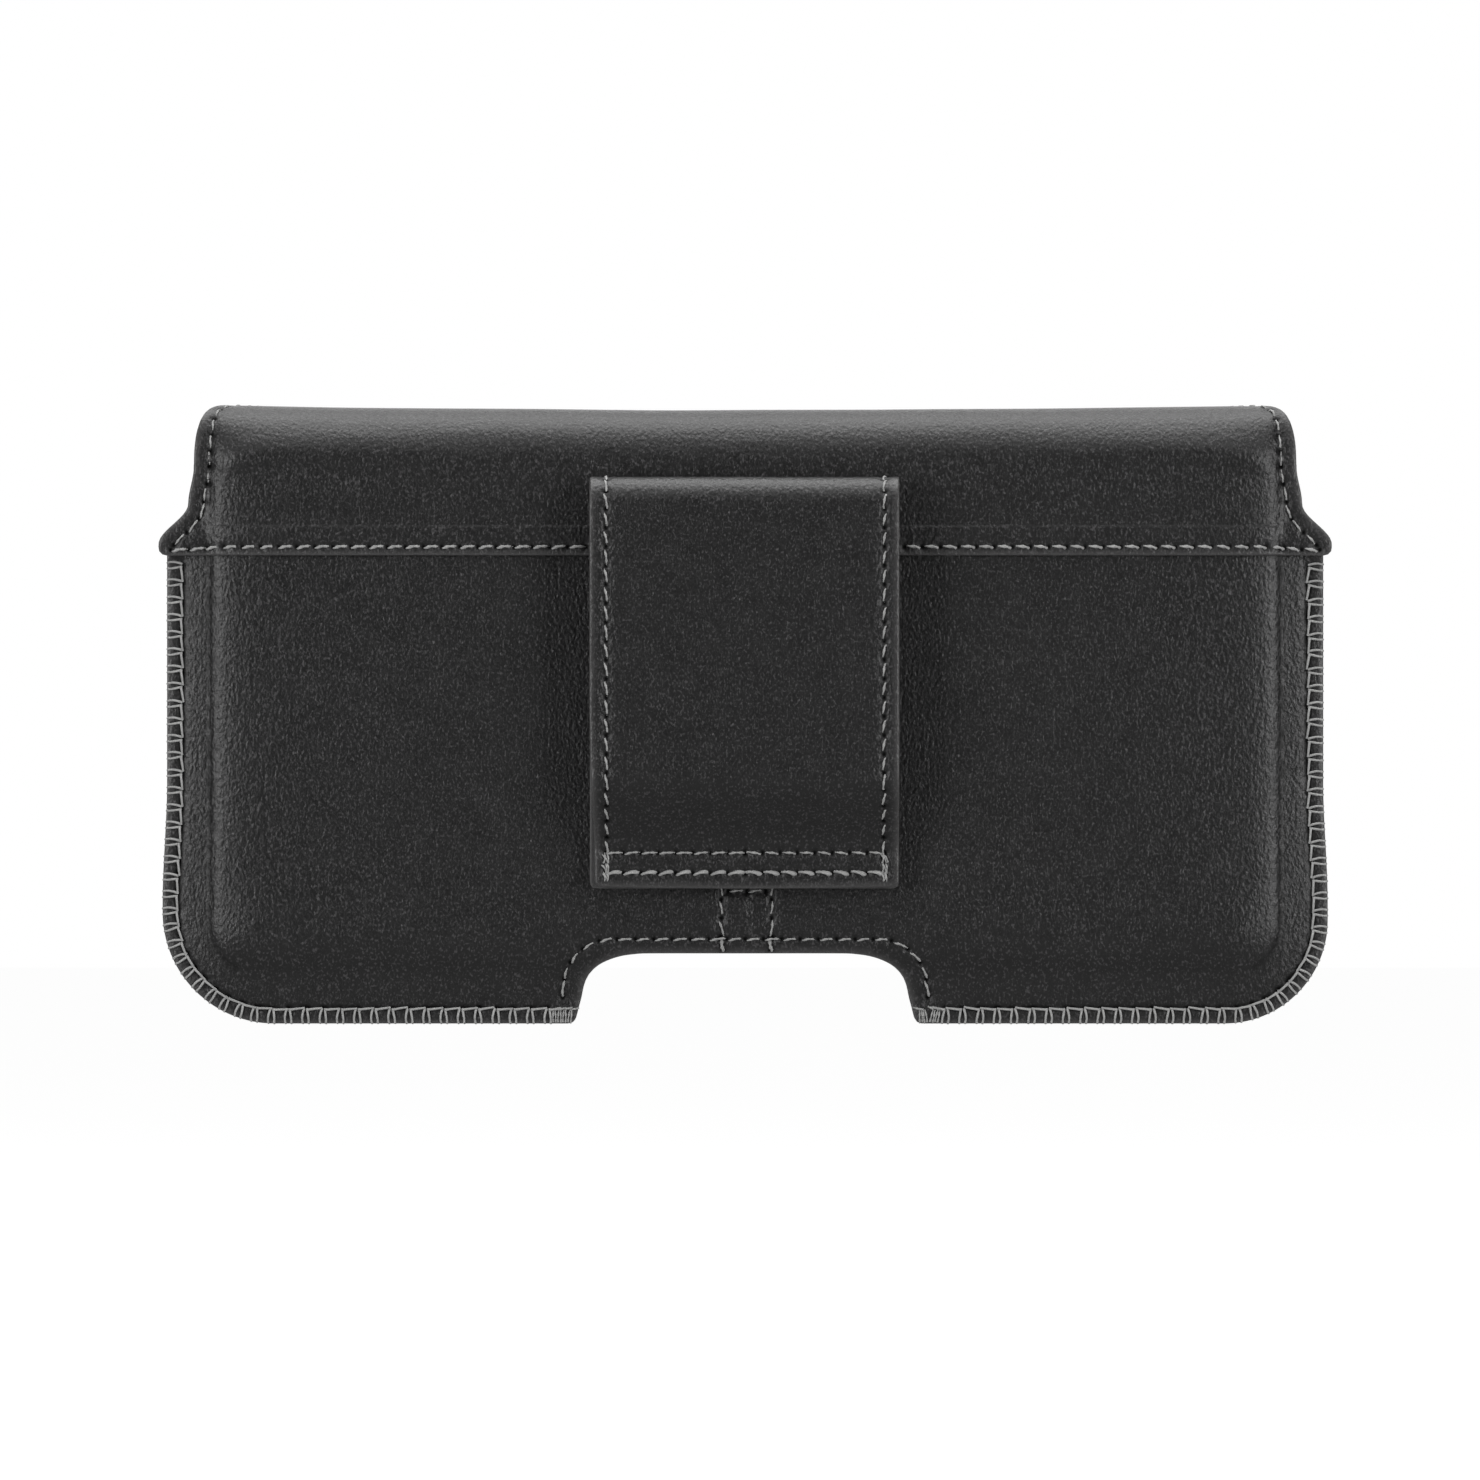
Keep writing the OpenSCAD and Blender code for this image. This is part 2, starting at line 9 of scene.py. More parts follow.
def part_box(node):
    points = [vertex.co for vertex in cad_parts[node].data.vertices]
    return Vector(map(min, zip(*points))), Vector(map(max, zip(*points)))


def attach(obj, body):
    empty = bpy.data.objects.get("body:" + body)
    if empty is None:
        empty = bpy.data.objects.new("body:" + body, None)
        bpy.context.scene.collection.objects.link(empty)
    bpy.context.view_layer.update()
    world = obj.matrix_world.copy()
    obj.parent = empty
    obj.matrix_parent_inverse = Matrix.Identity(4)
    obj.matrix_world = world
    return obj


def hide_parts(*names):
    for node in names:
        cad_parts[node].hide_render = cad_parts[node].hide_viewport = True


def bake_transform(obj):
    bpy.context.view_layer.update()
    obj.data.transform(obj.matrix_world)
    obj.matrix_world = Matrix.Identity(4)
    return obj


# A leather phone holster with a belt loop: moulded panels, a folded flap and grey sewing.
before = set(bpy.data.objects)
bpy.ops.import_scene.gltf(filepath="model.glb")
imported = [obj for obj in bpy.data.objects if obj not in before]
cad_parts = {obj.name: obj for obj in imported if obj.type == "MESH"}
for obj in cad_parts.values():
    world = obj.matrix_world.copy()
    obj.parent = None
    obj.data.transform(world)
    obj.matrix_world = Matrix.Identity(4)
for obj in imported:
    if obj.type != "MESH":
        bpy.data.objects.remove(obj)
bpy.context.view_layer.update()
mm = 0.001

# Places that the CAD part gives
panelLow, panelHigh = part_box("back_panel")
frontLow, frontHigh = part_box("front_panel")
leafLow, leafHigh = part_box("flap_rear_leaf")
flapLow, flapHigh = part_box("flap_leather")
loopLow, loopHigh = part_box("belt_loop")
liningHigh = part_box("pocket_lining_rear")[1]
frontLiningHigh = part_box("pocket_lining_front")[1]
padLow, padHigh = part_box("back_padding")
backingLow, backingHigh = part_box("seam_backing")

hide = {
    "panelThickness": 1.4 * mm,
    "flapThickness": 1.2 * mm,
    "innerThickness": 1.4 * mm,
    "liningThickness": 0.6 * mm,
    "grain": 0.9 * mm,        # spacing of the leather mesh
    "innerGrain": 1.1 * mm,
    "edgeRound": 0.35 * mm,   # softened cut edges
    "unevenness": 0.1 * mm,
    "unevenLength": 24 * mm,
}

form = {
    "halfWidth": 83.5 * mm,   # line where the moulded form meets the flange
    "footZ": -48.2 * mm,
    "cornerRadius": 8 * mm,
    "raise": 1.8 * mm,
    "bends": ((0.3, 0.4 * mm), (0.5, 2.5 * mm), (0.2, 9 * mm)),  # share and reach of each part of the edge
    "wallFrom": 0.45 * mm,    # how far inside its line the form starts to rise
    "creaseShade": 0.42,
    "softReach": 1.5 * mm,    # softer edge along the foot
    "flangeSlope": 0.15,
    "slopeWidth": 4 * mm,
    "pressed": 0.3 * mm,      # the sewn edge is pressed thinner, up to the next value
    "pressedTopZ": 16 * mm,
    "pressedWidth": 2.6 * mm,
}

outlineSizes = {
    "cornerRadius": {1: 16 * mm, -1: 17.3 * mm},
    "topRadius": 3 * mm,
    "notchTopZ": -44.7 * mm,
    "lipRadius": 1.2 * mm,
    "swell": 0.7 * mm,        # how far the sides stand out from the top of the swell to the foot
    "swellTopZ": -18 * mm,
    "swellHeight": 19 * mm,
    "swellShift": 0.7,        # share of the swell that the sides stand in above it
    "swellFromX": 45 * mm,
    "swellWidth": 25 * mm,
    # Half of the notch, from its lip up to the middle
    "notchCurve": [(26.2, -54.6), (25.8, -53), (25.4, -51.5), (25.15, -50.2), (24.75, -48.9), (23.95, -47.6),
                   (22.4, -46.3), (19.8, -45.25), (17, -44.8), (14, -44.7), (0, -44.7)],
}


# Outlines are arrays of points in a piece's own flat pattern
def arc(cx, cy, r, a0, a1, step=0.4 * mm):
    count = max(4, int(abs(math.radians(a1 - a0)) * r / step) + 1)
    turns = np.radians(np.linspace(a0, a1, count + 1))
    return np.stack([cx + r * np.cos(turns), cy + r * np.sin(turns)], 1)


def joined(*parts):
    return np.vstack([np.asarray(p, float).reshape(-1, 2) for p in parts])


def throughPoints(points, step=0.4 * mm):
    ends = np.vstack([2 * points[0] - points[1], points, 2 * points[-1] - points[-2]])
    t = np.linspace(0, 1, 9)[:-1, None]
    pieces = []
    for a, b, c, d in zip(ends, ends[1:], ends[2:], ends[3:]):
        pieces.append(0.5 * (2 * b + (c - a) * t + (2 * a - 5 * b + 4 * c - d) * t ** 2
                             + (3 * b - a - 3 * c + d) * t ** 3))
    return spaced(np.vstack([*pieces, points[-1:]]), step)


def bothSides(right):
    return np.vstack([right, right[::-1] * (-1, 1)])[::-1]


def spaced(points, step, closed=False, count=None):
    run = np.vstack([points, points[:1]]) if closed else points
    keep = np.append(True, np.linalg.norm(np.diff(run, axis=0), axis=1) > 1e-7)
    run = run[keep]
    along = np.append(0, np.cumsum(np.linalg.norm(np.diff(run, axis=0), axis=1)))
    count = count or max(2, int(round(along[-1] / step)))
    places = np.linspace(0, along[-1], count + 1)
    if closed:
        places = places[:-1]
    return np.stack([np.interp(places, along, run[:, i]) for i in range(run.shape[1])], 1)


def inward(outline):
    tangent = np.roll(outline, -1, 0) - np.roll(outline, 1, 0)
    tangent /= np.linalg.norm(tangent, axis=1)[:, None]
    return np.stack([-tangent[:, 1], tangent[:, 0]], 1)


def isInside(points, outline):
    x, y = points.T
    found = np.zeros(len(points), bool)
    for (x0, y0), (x1, y1) in zip(outline, np.roll(outline, -1, 0)):
        if y0 != y1:
            found ^= ((y0 > y) != (y1 > y)) & (x < (x1 - x0) * (y - y0) / (y1 - y0) + x0)
    return found


def treeOf(points):
    tree = kdtree.KDTree(len(points))
    for i, p in enumerate(points):
        tree.insert((p[0], p[1], 0), i)
    tree.balance()
    return tree


def distanceTo(points, others):
    if len(others) == 0:
        return np.full(len(points), 1.0)
    tree = treeOf(others)
    return np.array([tree.find((p[0], p[1], 0))[2] for p in points])


def smooth(t):
    t = np.clip(t, 0, 1)
    return t * t * (3 - 2 * t)


def uneven(points, size):
    k = 1 / hide["unevenLength"]
    return size * np.array([noise.noise((p[0] * k, p[1] * k, 3.1)) for p in points])


# A folded strip: its section is a line of (y, z) points, and v runs along it
class Fold:
    def __init__(self, section):
        self.points = spaced(section, 0.2 * mm)
        steps = np.diff(self.points, axis=0)
        self.along = np.append(0, np.cumsum(np.linalg.norm(steps, axis=1)))
        tangent = np.gradient(self.points, axis=0)
        tangent /= np.linalg.norm(tangent, axis=1)[:, None]
        self.normals = np.stack([-tangent[:, 1], tangent[:, 0]], 1)
        self.length = self.along[-1]

    def at(self, v, h):
        y, z, ny, nz = (np.interp(v, self.along, column)
                        for column in (*self.points.T, *self.normals.T))
        return y + ny * h, z + nz * h


# Rows of stitches on a flat pattern. A row holds its needle holes and the line that carries its stitches.
def sewnRow(path, pitch, depth=0.14 * mm, width=0.75 * mm, hole=0.4 * mm):
    line = spaced(np.asarray(path, float), 0.3 * mm)
    length = np.linalg.norm(np.diff(line, axis=0), axis=1).sum()
    count = max(1, int(round(length / pitch)))
    return {
        "line": line,
        "holes": spaced(line, pitch, count=count),
        "centres": spaced(line, pitch, count=2 * count)[1::2],
        "pitch": length / count,
        "depth": depth,
        "width": width,
        "hole": hole,
    }


# A line that is felt or seen on a piece and carries no stitches
def plainRow(line, width, **more):
    return {"line": line, "holes": np.zeros((0, 2)), "depth": 0.0, "width": width, "hole": 0.1 * mm, **more}


def leftOf(line):
    tangent = np.gradient(line, axis=0)
    tangent /= np.linalg.norm(tangent, axis=1)[:, None] + 1e-12
    return np.stack([-tangent[:, 1], tangent[:, 0]], 1)


def besides(line, gap):
    side = leftOf(line)
    return [line + side * gap, line - side * gap]


def newObject(name, data):
    thing = bpy.data.objects.new(name, data)
    bpy.context.scene.collection.objects.link(thing)
    return thing


# One closed sheet of leather or cloth. surface(u, v, h) places a point h above the face.
def cutSheet(name, outline, surface, top, thickness, rows=(), relief=None, grain=None, rounding=None):
    grain = grain or hide["grain"]
    rounding = rounding or hide["edgeRound"]
    rim = spaced(outline, grain * 0.8, closed=True)
    rings = [rim + inward(rim) * rounding * (1 - math.cos(math.radians(a))) for a in (35, 65, 90)]
    low, high = rim.min(0), rim.max(0)
    columns = np.arange(low[0], high[0], grain)
    levels = np.arange(low[1], high[1], grain * 0.87)
    field = np.array([(x + (j % 2) * grain / 2, z) for j, z in enumerate(levels) for x in columns])

    marks = []
    for row in rows:
        for hole in row["holes"]:
            marks.append([hole])
            for r, sides in ((0.55, 6), (1.3, 8)):
                turns = np.linspace(0, 2 * math.pi, sides, endpoint=False)
                marks.append(hole + row["hole"] * r * np.stack([np.cos(turns), np.sin(turns)], 1))
        line = spaced(row["line"], 0.5 * mm)
        marks.extend(besides(line, row["width"] * 0.6) + besides(line, row["width"] * 1.3))
    marks = np.vstack(marks) if marks else np.zeros((0, 2))
    rimLine = spaced(outline, 0.2 * mm, closed=True)
    if len(marks):
        marks = marks[isInside(marks, rim)]
        marks = marks[distanceTo(marks, rimLine) > rounding * 1.25]
        kept = [marks[0]]
        order = treeOf(marks)
        taken = np.zeros(len(marks), bool)
        for i, p in enumerate(marks):
            if not taken[i]:
                for _, j, _ in order.find_range((p[0], p[1], 0), 0.11 * mm):
                    taken[j] = True
                kept.append(p)
        marks = np.array(kept[1:])
    field = field[isInside(field, rim)]
    field = field[distanceTo(field, rimLine) > rounding + grain * 0.4]
    if len(marks):
        field = field[distanceTo(field, marks) > grain * 0.45]

    pattern = np.vstack([rim, *rings, marks, field])
    border = [(i, (i + 1) % len(rim)) for i in range(len(rim))]
    flat, _, faces, fromPoint, _, _ = delaunay_2d_cdt([Vector(p) for p in pattern], border, [], 1, 1e-7)
    flat = np.array([(p[0], p[1]) for p in flat])
    rimAt = np.zeros(len(rim), int)
    for i, sources in enumerate(fromPoint):
        for source in sources:
            if source < len(rim):
                rimAt[source] = i

    edge = distanceTo(flat, rimLine)
    edge[rimAt] = 0
    curl = np.clip(rounding - edge, 0, rounding)
    drop = rounding - np.sqrt(np.clip(rounding ** 2 - curl ** 2, 0, None))
    height = np.full(len(flat), float(top)) - drop
    if relief is not None:
        height += relief(flat)
    # Painted shade: needle holes, and the crease and puckers of rows with a shade value, are darkened in
    # colour through this mask.
    paintedShade = np.zeros(len(flat))
    for row in rows:
        near = distanceTo(flat, row["line"])
        height -= row["depth"] * np.exp(-(near / row["width"]) ** 2)
        hole = np.exp(-(distanceTo(flat, row["holes"]) / row["hole"]) ** 2)
        height -= hole * row["hole"] * 0.9
        paintedShade = np.maximum(paintedShade, hole)
        # Painted shade in noisy patches along the row
        if "shade" in row:
            patches = np.array([0.75 + noise.noise((p[0] * 900, p[1] * 900, 1.7)) for p in flat])
            paintedShade = np.maximum(paintedShade, row["shade"] * patches * np.exp(-(near / (0.5 * mm)) ** 2))

    upper = surface(flat[:, 0], flat[:, 1], height)
    lower = surface(flat[:, 0], flat[:, 1], np.full(len(flat), top - thickness) + drop * 0.6)
    count = len(flat)
    a, b, c = (upper[faces[0][i]] for i in range(3))
    outwards = surface(flat[faces[0][:1], 0], flat[faces[0][:1], 1], np.array([top + mm]))[0] - a
    if np.dot(np.cross(b - a, c - a), outwards) < 0:
        faces = [f[::-1] for f in faces]
        rimAt = rimAt[::-1]
    lowerFaces = [tuple(count + i for i in f[::-1]) for f in faces]
    wall = [(rimAt[i], count + rimAt[i], count + rimAt[(i + 1) % len(rim)], rimAt[(i + 1) % len(rim)])
            for i in range(len(rim))]
    mesh = bpy.data.meshes.new(name)
    allFaces = [tuple(map(int, f)) for f in faces + lowerFaces + wall]
    mesh.from_pydata(np.vstack([upper, lower]).tolist(), [], allFaces)
    mesh.polygons.foreach_set("use_smooth", [True] * len(mesh.polygons))
    # Painted highlight: the cut edges are lightened in colour, most at the edge itself
    edgeHighlight = np.exp(-(np.append(edge, edge) / rounding))
    for label, values in (("paintedShade", np.append(paintedShade, paintedShade * 0)), ("rim", edgeHighlight)):
        mesh.attributes.new(label, "FLOAT", "POINT").data.foreach_set("value", values.astype(np.float32))
    return newObject(name, mesh)


def dress(piece, body, slotName, material, *nodes):
    piece.data.materials.clear()
    piece.data.materials.append(material)
    if body:
        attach(piece, body)
    if nodes:
        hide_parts(*nodes)
    return piece


# Height of the moulded form over its flange, from the distance inside the form's line
def formHeight(d, soft=0):
    inner = np.clip(d - form["wallFrom"], 0, None)
    step = form["raise"] * (1 - sum(share * np.exp(-inner / reach) for share, reach in form["bends"]))
    inner = np.clip(d, 0, None) / form["softReach"]
    softStep = form["raise"] * (1 - np.exp(-inner) * (1 + inner))
    return step * (1 - soft) + softStep * soft


def insideForm(x, z):
    r = form["cornerRadius"]
    qx = np.abs(x) - (form["halfWidth"] - r)
    qz = form["footZ"] + r - z
    outside = np.hypot(np.clip(qx, 0, None), np.clip(qz, 0, None))
    return r - outside - np.clip(np.maximum(qx, qz), None, 0)


def footward(x, z):
    r = form["cornerRadius"]
    qx = np.clip(np.abs(x) - (form["halfWidth"] - r), 0, None)
    return smooth(1 - qx / r) * smooth((form["footZ"] + 2 * r - z) / r)


def halfOutline(side, topZ, topRadius):
    o = outlineSizes
    half, foot, r = panelHigh.x, panelLow.z, o["cornerRadius"][side]
    notch = throughPoints(np.array(o["notchCurve"]) * mm)
    lip = o["lipRadius"]
    right = joined([(0, topZ)], arc(half - topRadius, topZ - topRadius, topRadius, 90, 0),
                   [(half, foot + r + 0.1 * mm)], arc(half - r, foot + r, r, 0, -90),
                   arc(notch[0, 0] + lip, foot + lip, lip, 270, 185, 0.25 * mm), notch)
    right = spaced(right, 0.4 * mm)
    x, z = right.T
    swell = o["swell"] * (smooth((o["swellTopZ"] - z) / o["swellHeight"]) - o["swellShift"])
    right[:, 0] += swell * smooth((x - o["swellFromX"]) / o["swellWidth"])
    return right


def bodyOutline(topZ, topRadius):
    right, left = (halfOutline(side, topZ, topRadius) for side in (1, -1))
    return np.vstack([right, left[::-1] * (-1, 1)])[::-1]


# Materials
def newMaterial(name):
    material = bpy.data.materials.new(name)
    material.use_nodes = True
    tree = material.node_tree
    return material, tree, tree.nodes["Principled BSDF"]


def addNode(tree, kind, inputs=None, **settings):
    node = tree.nodes.new(kind)
    for key, value in settings.items():
        setattr(node, key, value)
    for key, value in (inputs or {}).items():
        if isinstance(value, bpy.types.NodeSocket):
            tree.links.new(value, node.inputs[key])
        else:
            node.inputs[key].default_value = value
    return node


def math2(tree, operation, a, b=0.0, clamp=False):
    return addNode(tree, "ShaderNodeMath", {0: a, 1: b}, operation=operation, use_clamp=clamp).outputs[0]


def mixColour(tree, factor, a, b):
    return addNode(tree, "ShaderNodeMix", {0: factor, 6: a, 7: b}, data_type="RGBA").outputs[2]


def ownPlace(tree):
    return addNode(tree, "ShaderNodeTexCoord").outputs["Object"]


def speckle(tree, place, scale, detail, roughness=0.5):
    return addNode(tree, "ShaderNodeTexNoise", {"Vector": place, "Scale": scale, "Detail": detail,
                                                "Roughness": roughness})


def setBump(tree, shader, height, strength, distance):
    relief = addNode(tree, "ShaderNodeBump", {"Strength": strength, "Distance": distance, "Height": height})
    tree.links.new(relief.outputs[0], shader.inputs["Normal"])


def grainGroup():
    group = bpy.data.node_groups.new("leatherGrain", "ShaderNodeTree")
    for label, value in (("Cells", 1800.0), ("Stretch", 0.7), ("Wrinkle", 1.3)):
        socket = group.interface.new_socket(label, in_out="INPUT", socket_type="NodeSocketFloat")
        socket.default_value = value
    for label in ("Height", "Tone", "GlintSpecks"):
        group.interface.new_socket(label, in_out="OUTPUT", socket_type="NodeSocketFloat")
    given = group.nodes.new("NodeGroupInput")
    result = group.nodes.new("NodeGroupOutput")
    place = ownPlace(group)
    stretch = addNode(group, "ShaderNodeCombineXYZ", {"X": 1.0, "Y": 1.0, "Z": given.outputs["Stretch"]})
    fine = addNode(group, "ShaderNodeVectorMath", {0: place, 1: stretch.outputs[0]}, operation="MULTIPLY")
    bend = speckle(group, place, 900.0, 2.0)
    bent = addNode(group, "ShaderNodeVectorMath", {0: bend.outputs["Color"], 1: (0.00035, 0.00035, 0.00035)},
                   operation="MULTIPLY")
    spot = addNode(group, "ShaderNodeVectorMath", {0: fine.outputs[0], 1: bent.outputs[0]}, operation="ADD")
    cells = addNode(group, "ShaderNodeTexVoronoi",
                    {"Vector": spot.outputs[0], "Scale": given.outputs["Cells"]}, feature="SMOOTH_F1")
    pores = speckle(group, fine.outputs[0], 6500.0, 3.0)
    broad = speckle(group, place, 260.0, 4.0)
    creases = speckle(group, fine.outputs[0], 2400.0, 3.0, 0.55)
    # Painted glints: pale specks standing in for light caught by the grain
    specks = speckle(group, fine.outputs[0], 3000.0, 1.0)
    glintSpecks = addNode(group, "ShaderNodeMapRange",
                   {"Value": specks.outputs[0], "From Min": 0.55, "From Max": 0.72})
    group.links.new(glintSpecks.outputs[0], result.inputs["GlintSpecks"])
    body = math2(group, "MULTIPLY", math2(group, "SUBTRACT", 1.0, cells.outputs["Distance"]), 0.9)
    body = math2(group, "ADD", body, math2(group, "MULTIPLY", pores.outputs[0], 0.08))
    wrinkle = math2(group, "MULTIPLY", creases.outputs[0], given.outputs["Wrinkle"])
    group.links.new(math2(group, "ADD", body, wrinkle), result.inputs["Height"])
    tone = math2(group, "ADD", math2(group, "MULTIPLY", broad.outputs[0], 0.6),
                 math2(group, "MULTIPLY", creases.outputs[0], 0.4))
    group.links.new(tone, result.inputs["Tone"])
    return group


leatherGrain = grainGroup()


def leather(name, dark, light, roughness, bump, cells, stretch, specular=0.5, glintSpecks=0.0):
    material, tree, shader = newMaterial(name)
    grain = addNode(tree, "ShaderNodeGroup", {"Cells": cells, "Stretch": stretch}, node_tree=leatherGrain)
    paintedShade = addNode(tree, "ShaderNodeAttribute", attribute_name="paintedShade").outputs["Fac"]
    rim = addNode(tree, "ShaderNodeAttribute", attribute_name="rim").outputs["Fac"]
    colour = mixColour(tree, grain.outputs["Tone"], dark, light)
    # Painted glints: pale specks mixed into the colour
    glintShare = math2(tree, "MULTIPLY", grain.outputs["GlintSpecks"], glintSpecks)
    colour = mixColour(tree, glintShare, colour, (0.06, 0.058, 0.06, 1))
    # Painted highlight: the cut edges are lightened where the rim share is high
    colour = mixColour(tree, math2(tree, "MULTIPLY", rim, 0.8), colour, (0.1, 0.098, 0.098, 1))
    # Painted shade: the colour goes nearly black where the shade mask is set
    colour = mixColour(tree, math2(tree, "MULTIPLY", paintedShade, 1.6, clamp=True), colour, (0.002, 0.002, 0.002, 1))
    tree.links.new(colour, shader.inputs["Base Color"])
    rough = math2(tree, "ADD", roughness - 0.08, math2(tree, "MULTIPLY", grain.outputs["Tone"], 0.16))
    rough = math2(tree, "ADD", rough, math2(tree, "MULTIPLY", paintedShade, 0.4), clamp=True)
    tree.links.new(rough, shader.inputs["Roughness"])
    # Painted shade in the needle holes, creases and puckers: a dark metal colour takes the gloss out of them
    tree.links.new(math2(tree, "MULTIPLY", paintedShade, 1.0, clamp=True), shader.inputs["Metallic"])
    shader.inputs["Specular IOR Level"].default_value = specular
    setBump(tree, shader, grain.outputs["Height"], bump, 0.16 * mm)
    return material


def cloth(name, dark, light, threadScale, bump):
    material, tree, shader = newMaterial(name)
    shader.inputs["Roughness"].default_value = 0.92
    shader.inputs["Sheen Weight"].default_value = 0.35
    nap = speckle(tree, ownPlace(tree), threadScale, 6.0, 0.7).outputs[0]
    tree.links.new(mixColour(tree, nap, dark, light), shader.inputs["Base Color"])
    setBump(tree, shader, nap, bump, 0.2 * mm)
    return material


def metal(name, colour, roughness):
    material, tree, shader = newMaterial(name)
    shader.inputs["Metallic"].default_value = 1.0
    brush = speckle(tree, ownPlace(tree), 1800.0, 3.0).outputs[0]
    dark = tuple(c * 0.8 for c in colour[:3]) + (1,)
    tree.links.new(mixColour(tree, brush, dark, colour), shader.inputs["Base Color"])
    rough = math2(tree, "ADD", roughness, math2(tree, "MULTIPLY", brush, 0.15))
    tree.links.new(rough, shader.inputs["Roughness"])
    return material


def threadMaterial():
    material, tree, shader = newMaterial("greyThread")
    shader.inputs["Roughness"].default_value = 0.6
    shader.inputs["Sheen Weight"].default_value = 0.2
    place = ownPlace(tree)
    fibre = speckle(tree, place, 5200.0, 4.0).outputs[0]
    patch = speckle(tree, place, 420.0, 2.0).outputs[0]
    colour = mixColour(tree, fibre, (0.13, 0.13, 0.13, 1), (0.56, 0.56, 0.55, 1))
    shade = math2(tree, "MULTIPLY", math2(tree, "SUBTRACT", patch, 0.35), 1.2, clamp=True)
    tree.links.new(mixColour(tree, shade, colour, (0.2, 0.2, 0.2, 1)), shader.inputs["Base Color"])
    setBump(tree, shader, fibre, 0.5, 0.1 * mm)
    return material


outerLeather = leather("blackLeather", (0.002, 0.0019, 0.002, 1), (0.007, 0.0068, 0.007, 1),
                       roughness=0.34, bump=0.6, cells=1800.0, stretch=0.7, specular=0.46, glintSpecks=0.7)
innerLeather = leather("innerLeather", (0.012, 0.012, 0.012, 1), (0.022, 0.022, 0.023, 1),
                       roughness=0.6, bump=0.4, cells=2200.0, stretch=0.8)
pocketCloth = cloth("pocketCloth", (0.012, 0.012, 0.013, 1), (0.03, 0.03, 0.032, 1), 2600.0, 0.6)
boardStock = cloth("boardStock", (0.1, 0.09, 0.075, 1), (0.2, 0.18, 0.15, 1), 1400.0, 0.3)
foamStock = cloth("foamStock", (0.12, 0.12, 0.12, 1), (0.22, 0.22, 0.22, 1), 3200.0, 0.8)
plateSteel = metal("plateSteel", (0.55, 0.55, 0.56, 1), 0.32)
magnetPlate = metal("magnetPlate", (0.66, 0.65, 0.62, 1), 0.24)
greyThread = threadMaterial()
print("materials made")


# Geometry Nodes: a running stitch, repeated along a guide line
def strand(tree, start, startHandle, endHandle, end, resolution):
    return addNode(tree, "GeometryNodeCurvePrimitiveBezierSegment",
                   {"Resolution": resolution, "Start": start, "Start Handle": startHandle,
                    "End Handle": endHandle, "End": end}, mode="POSITION").outputs[0]


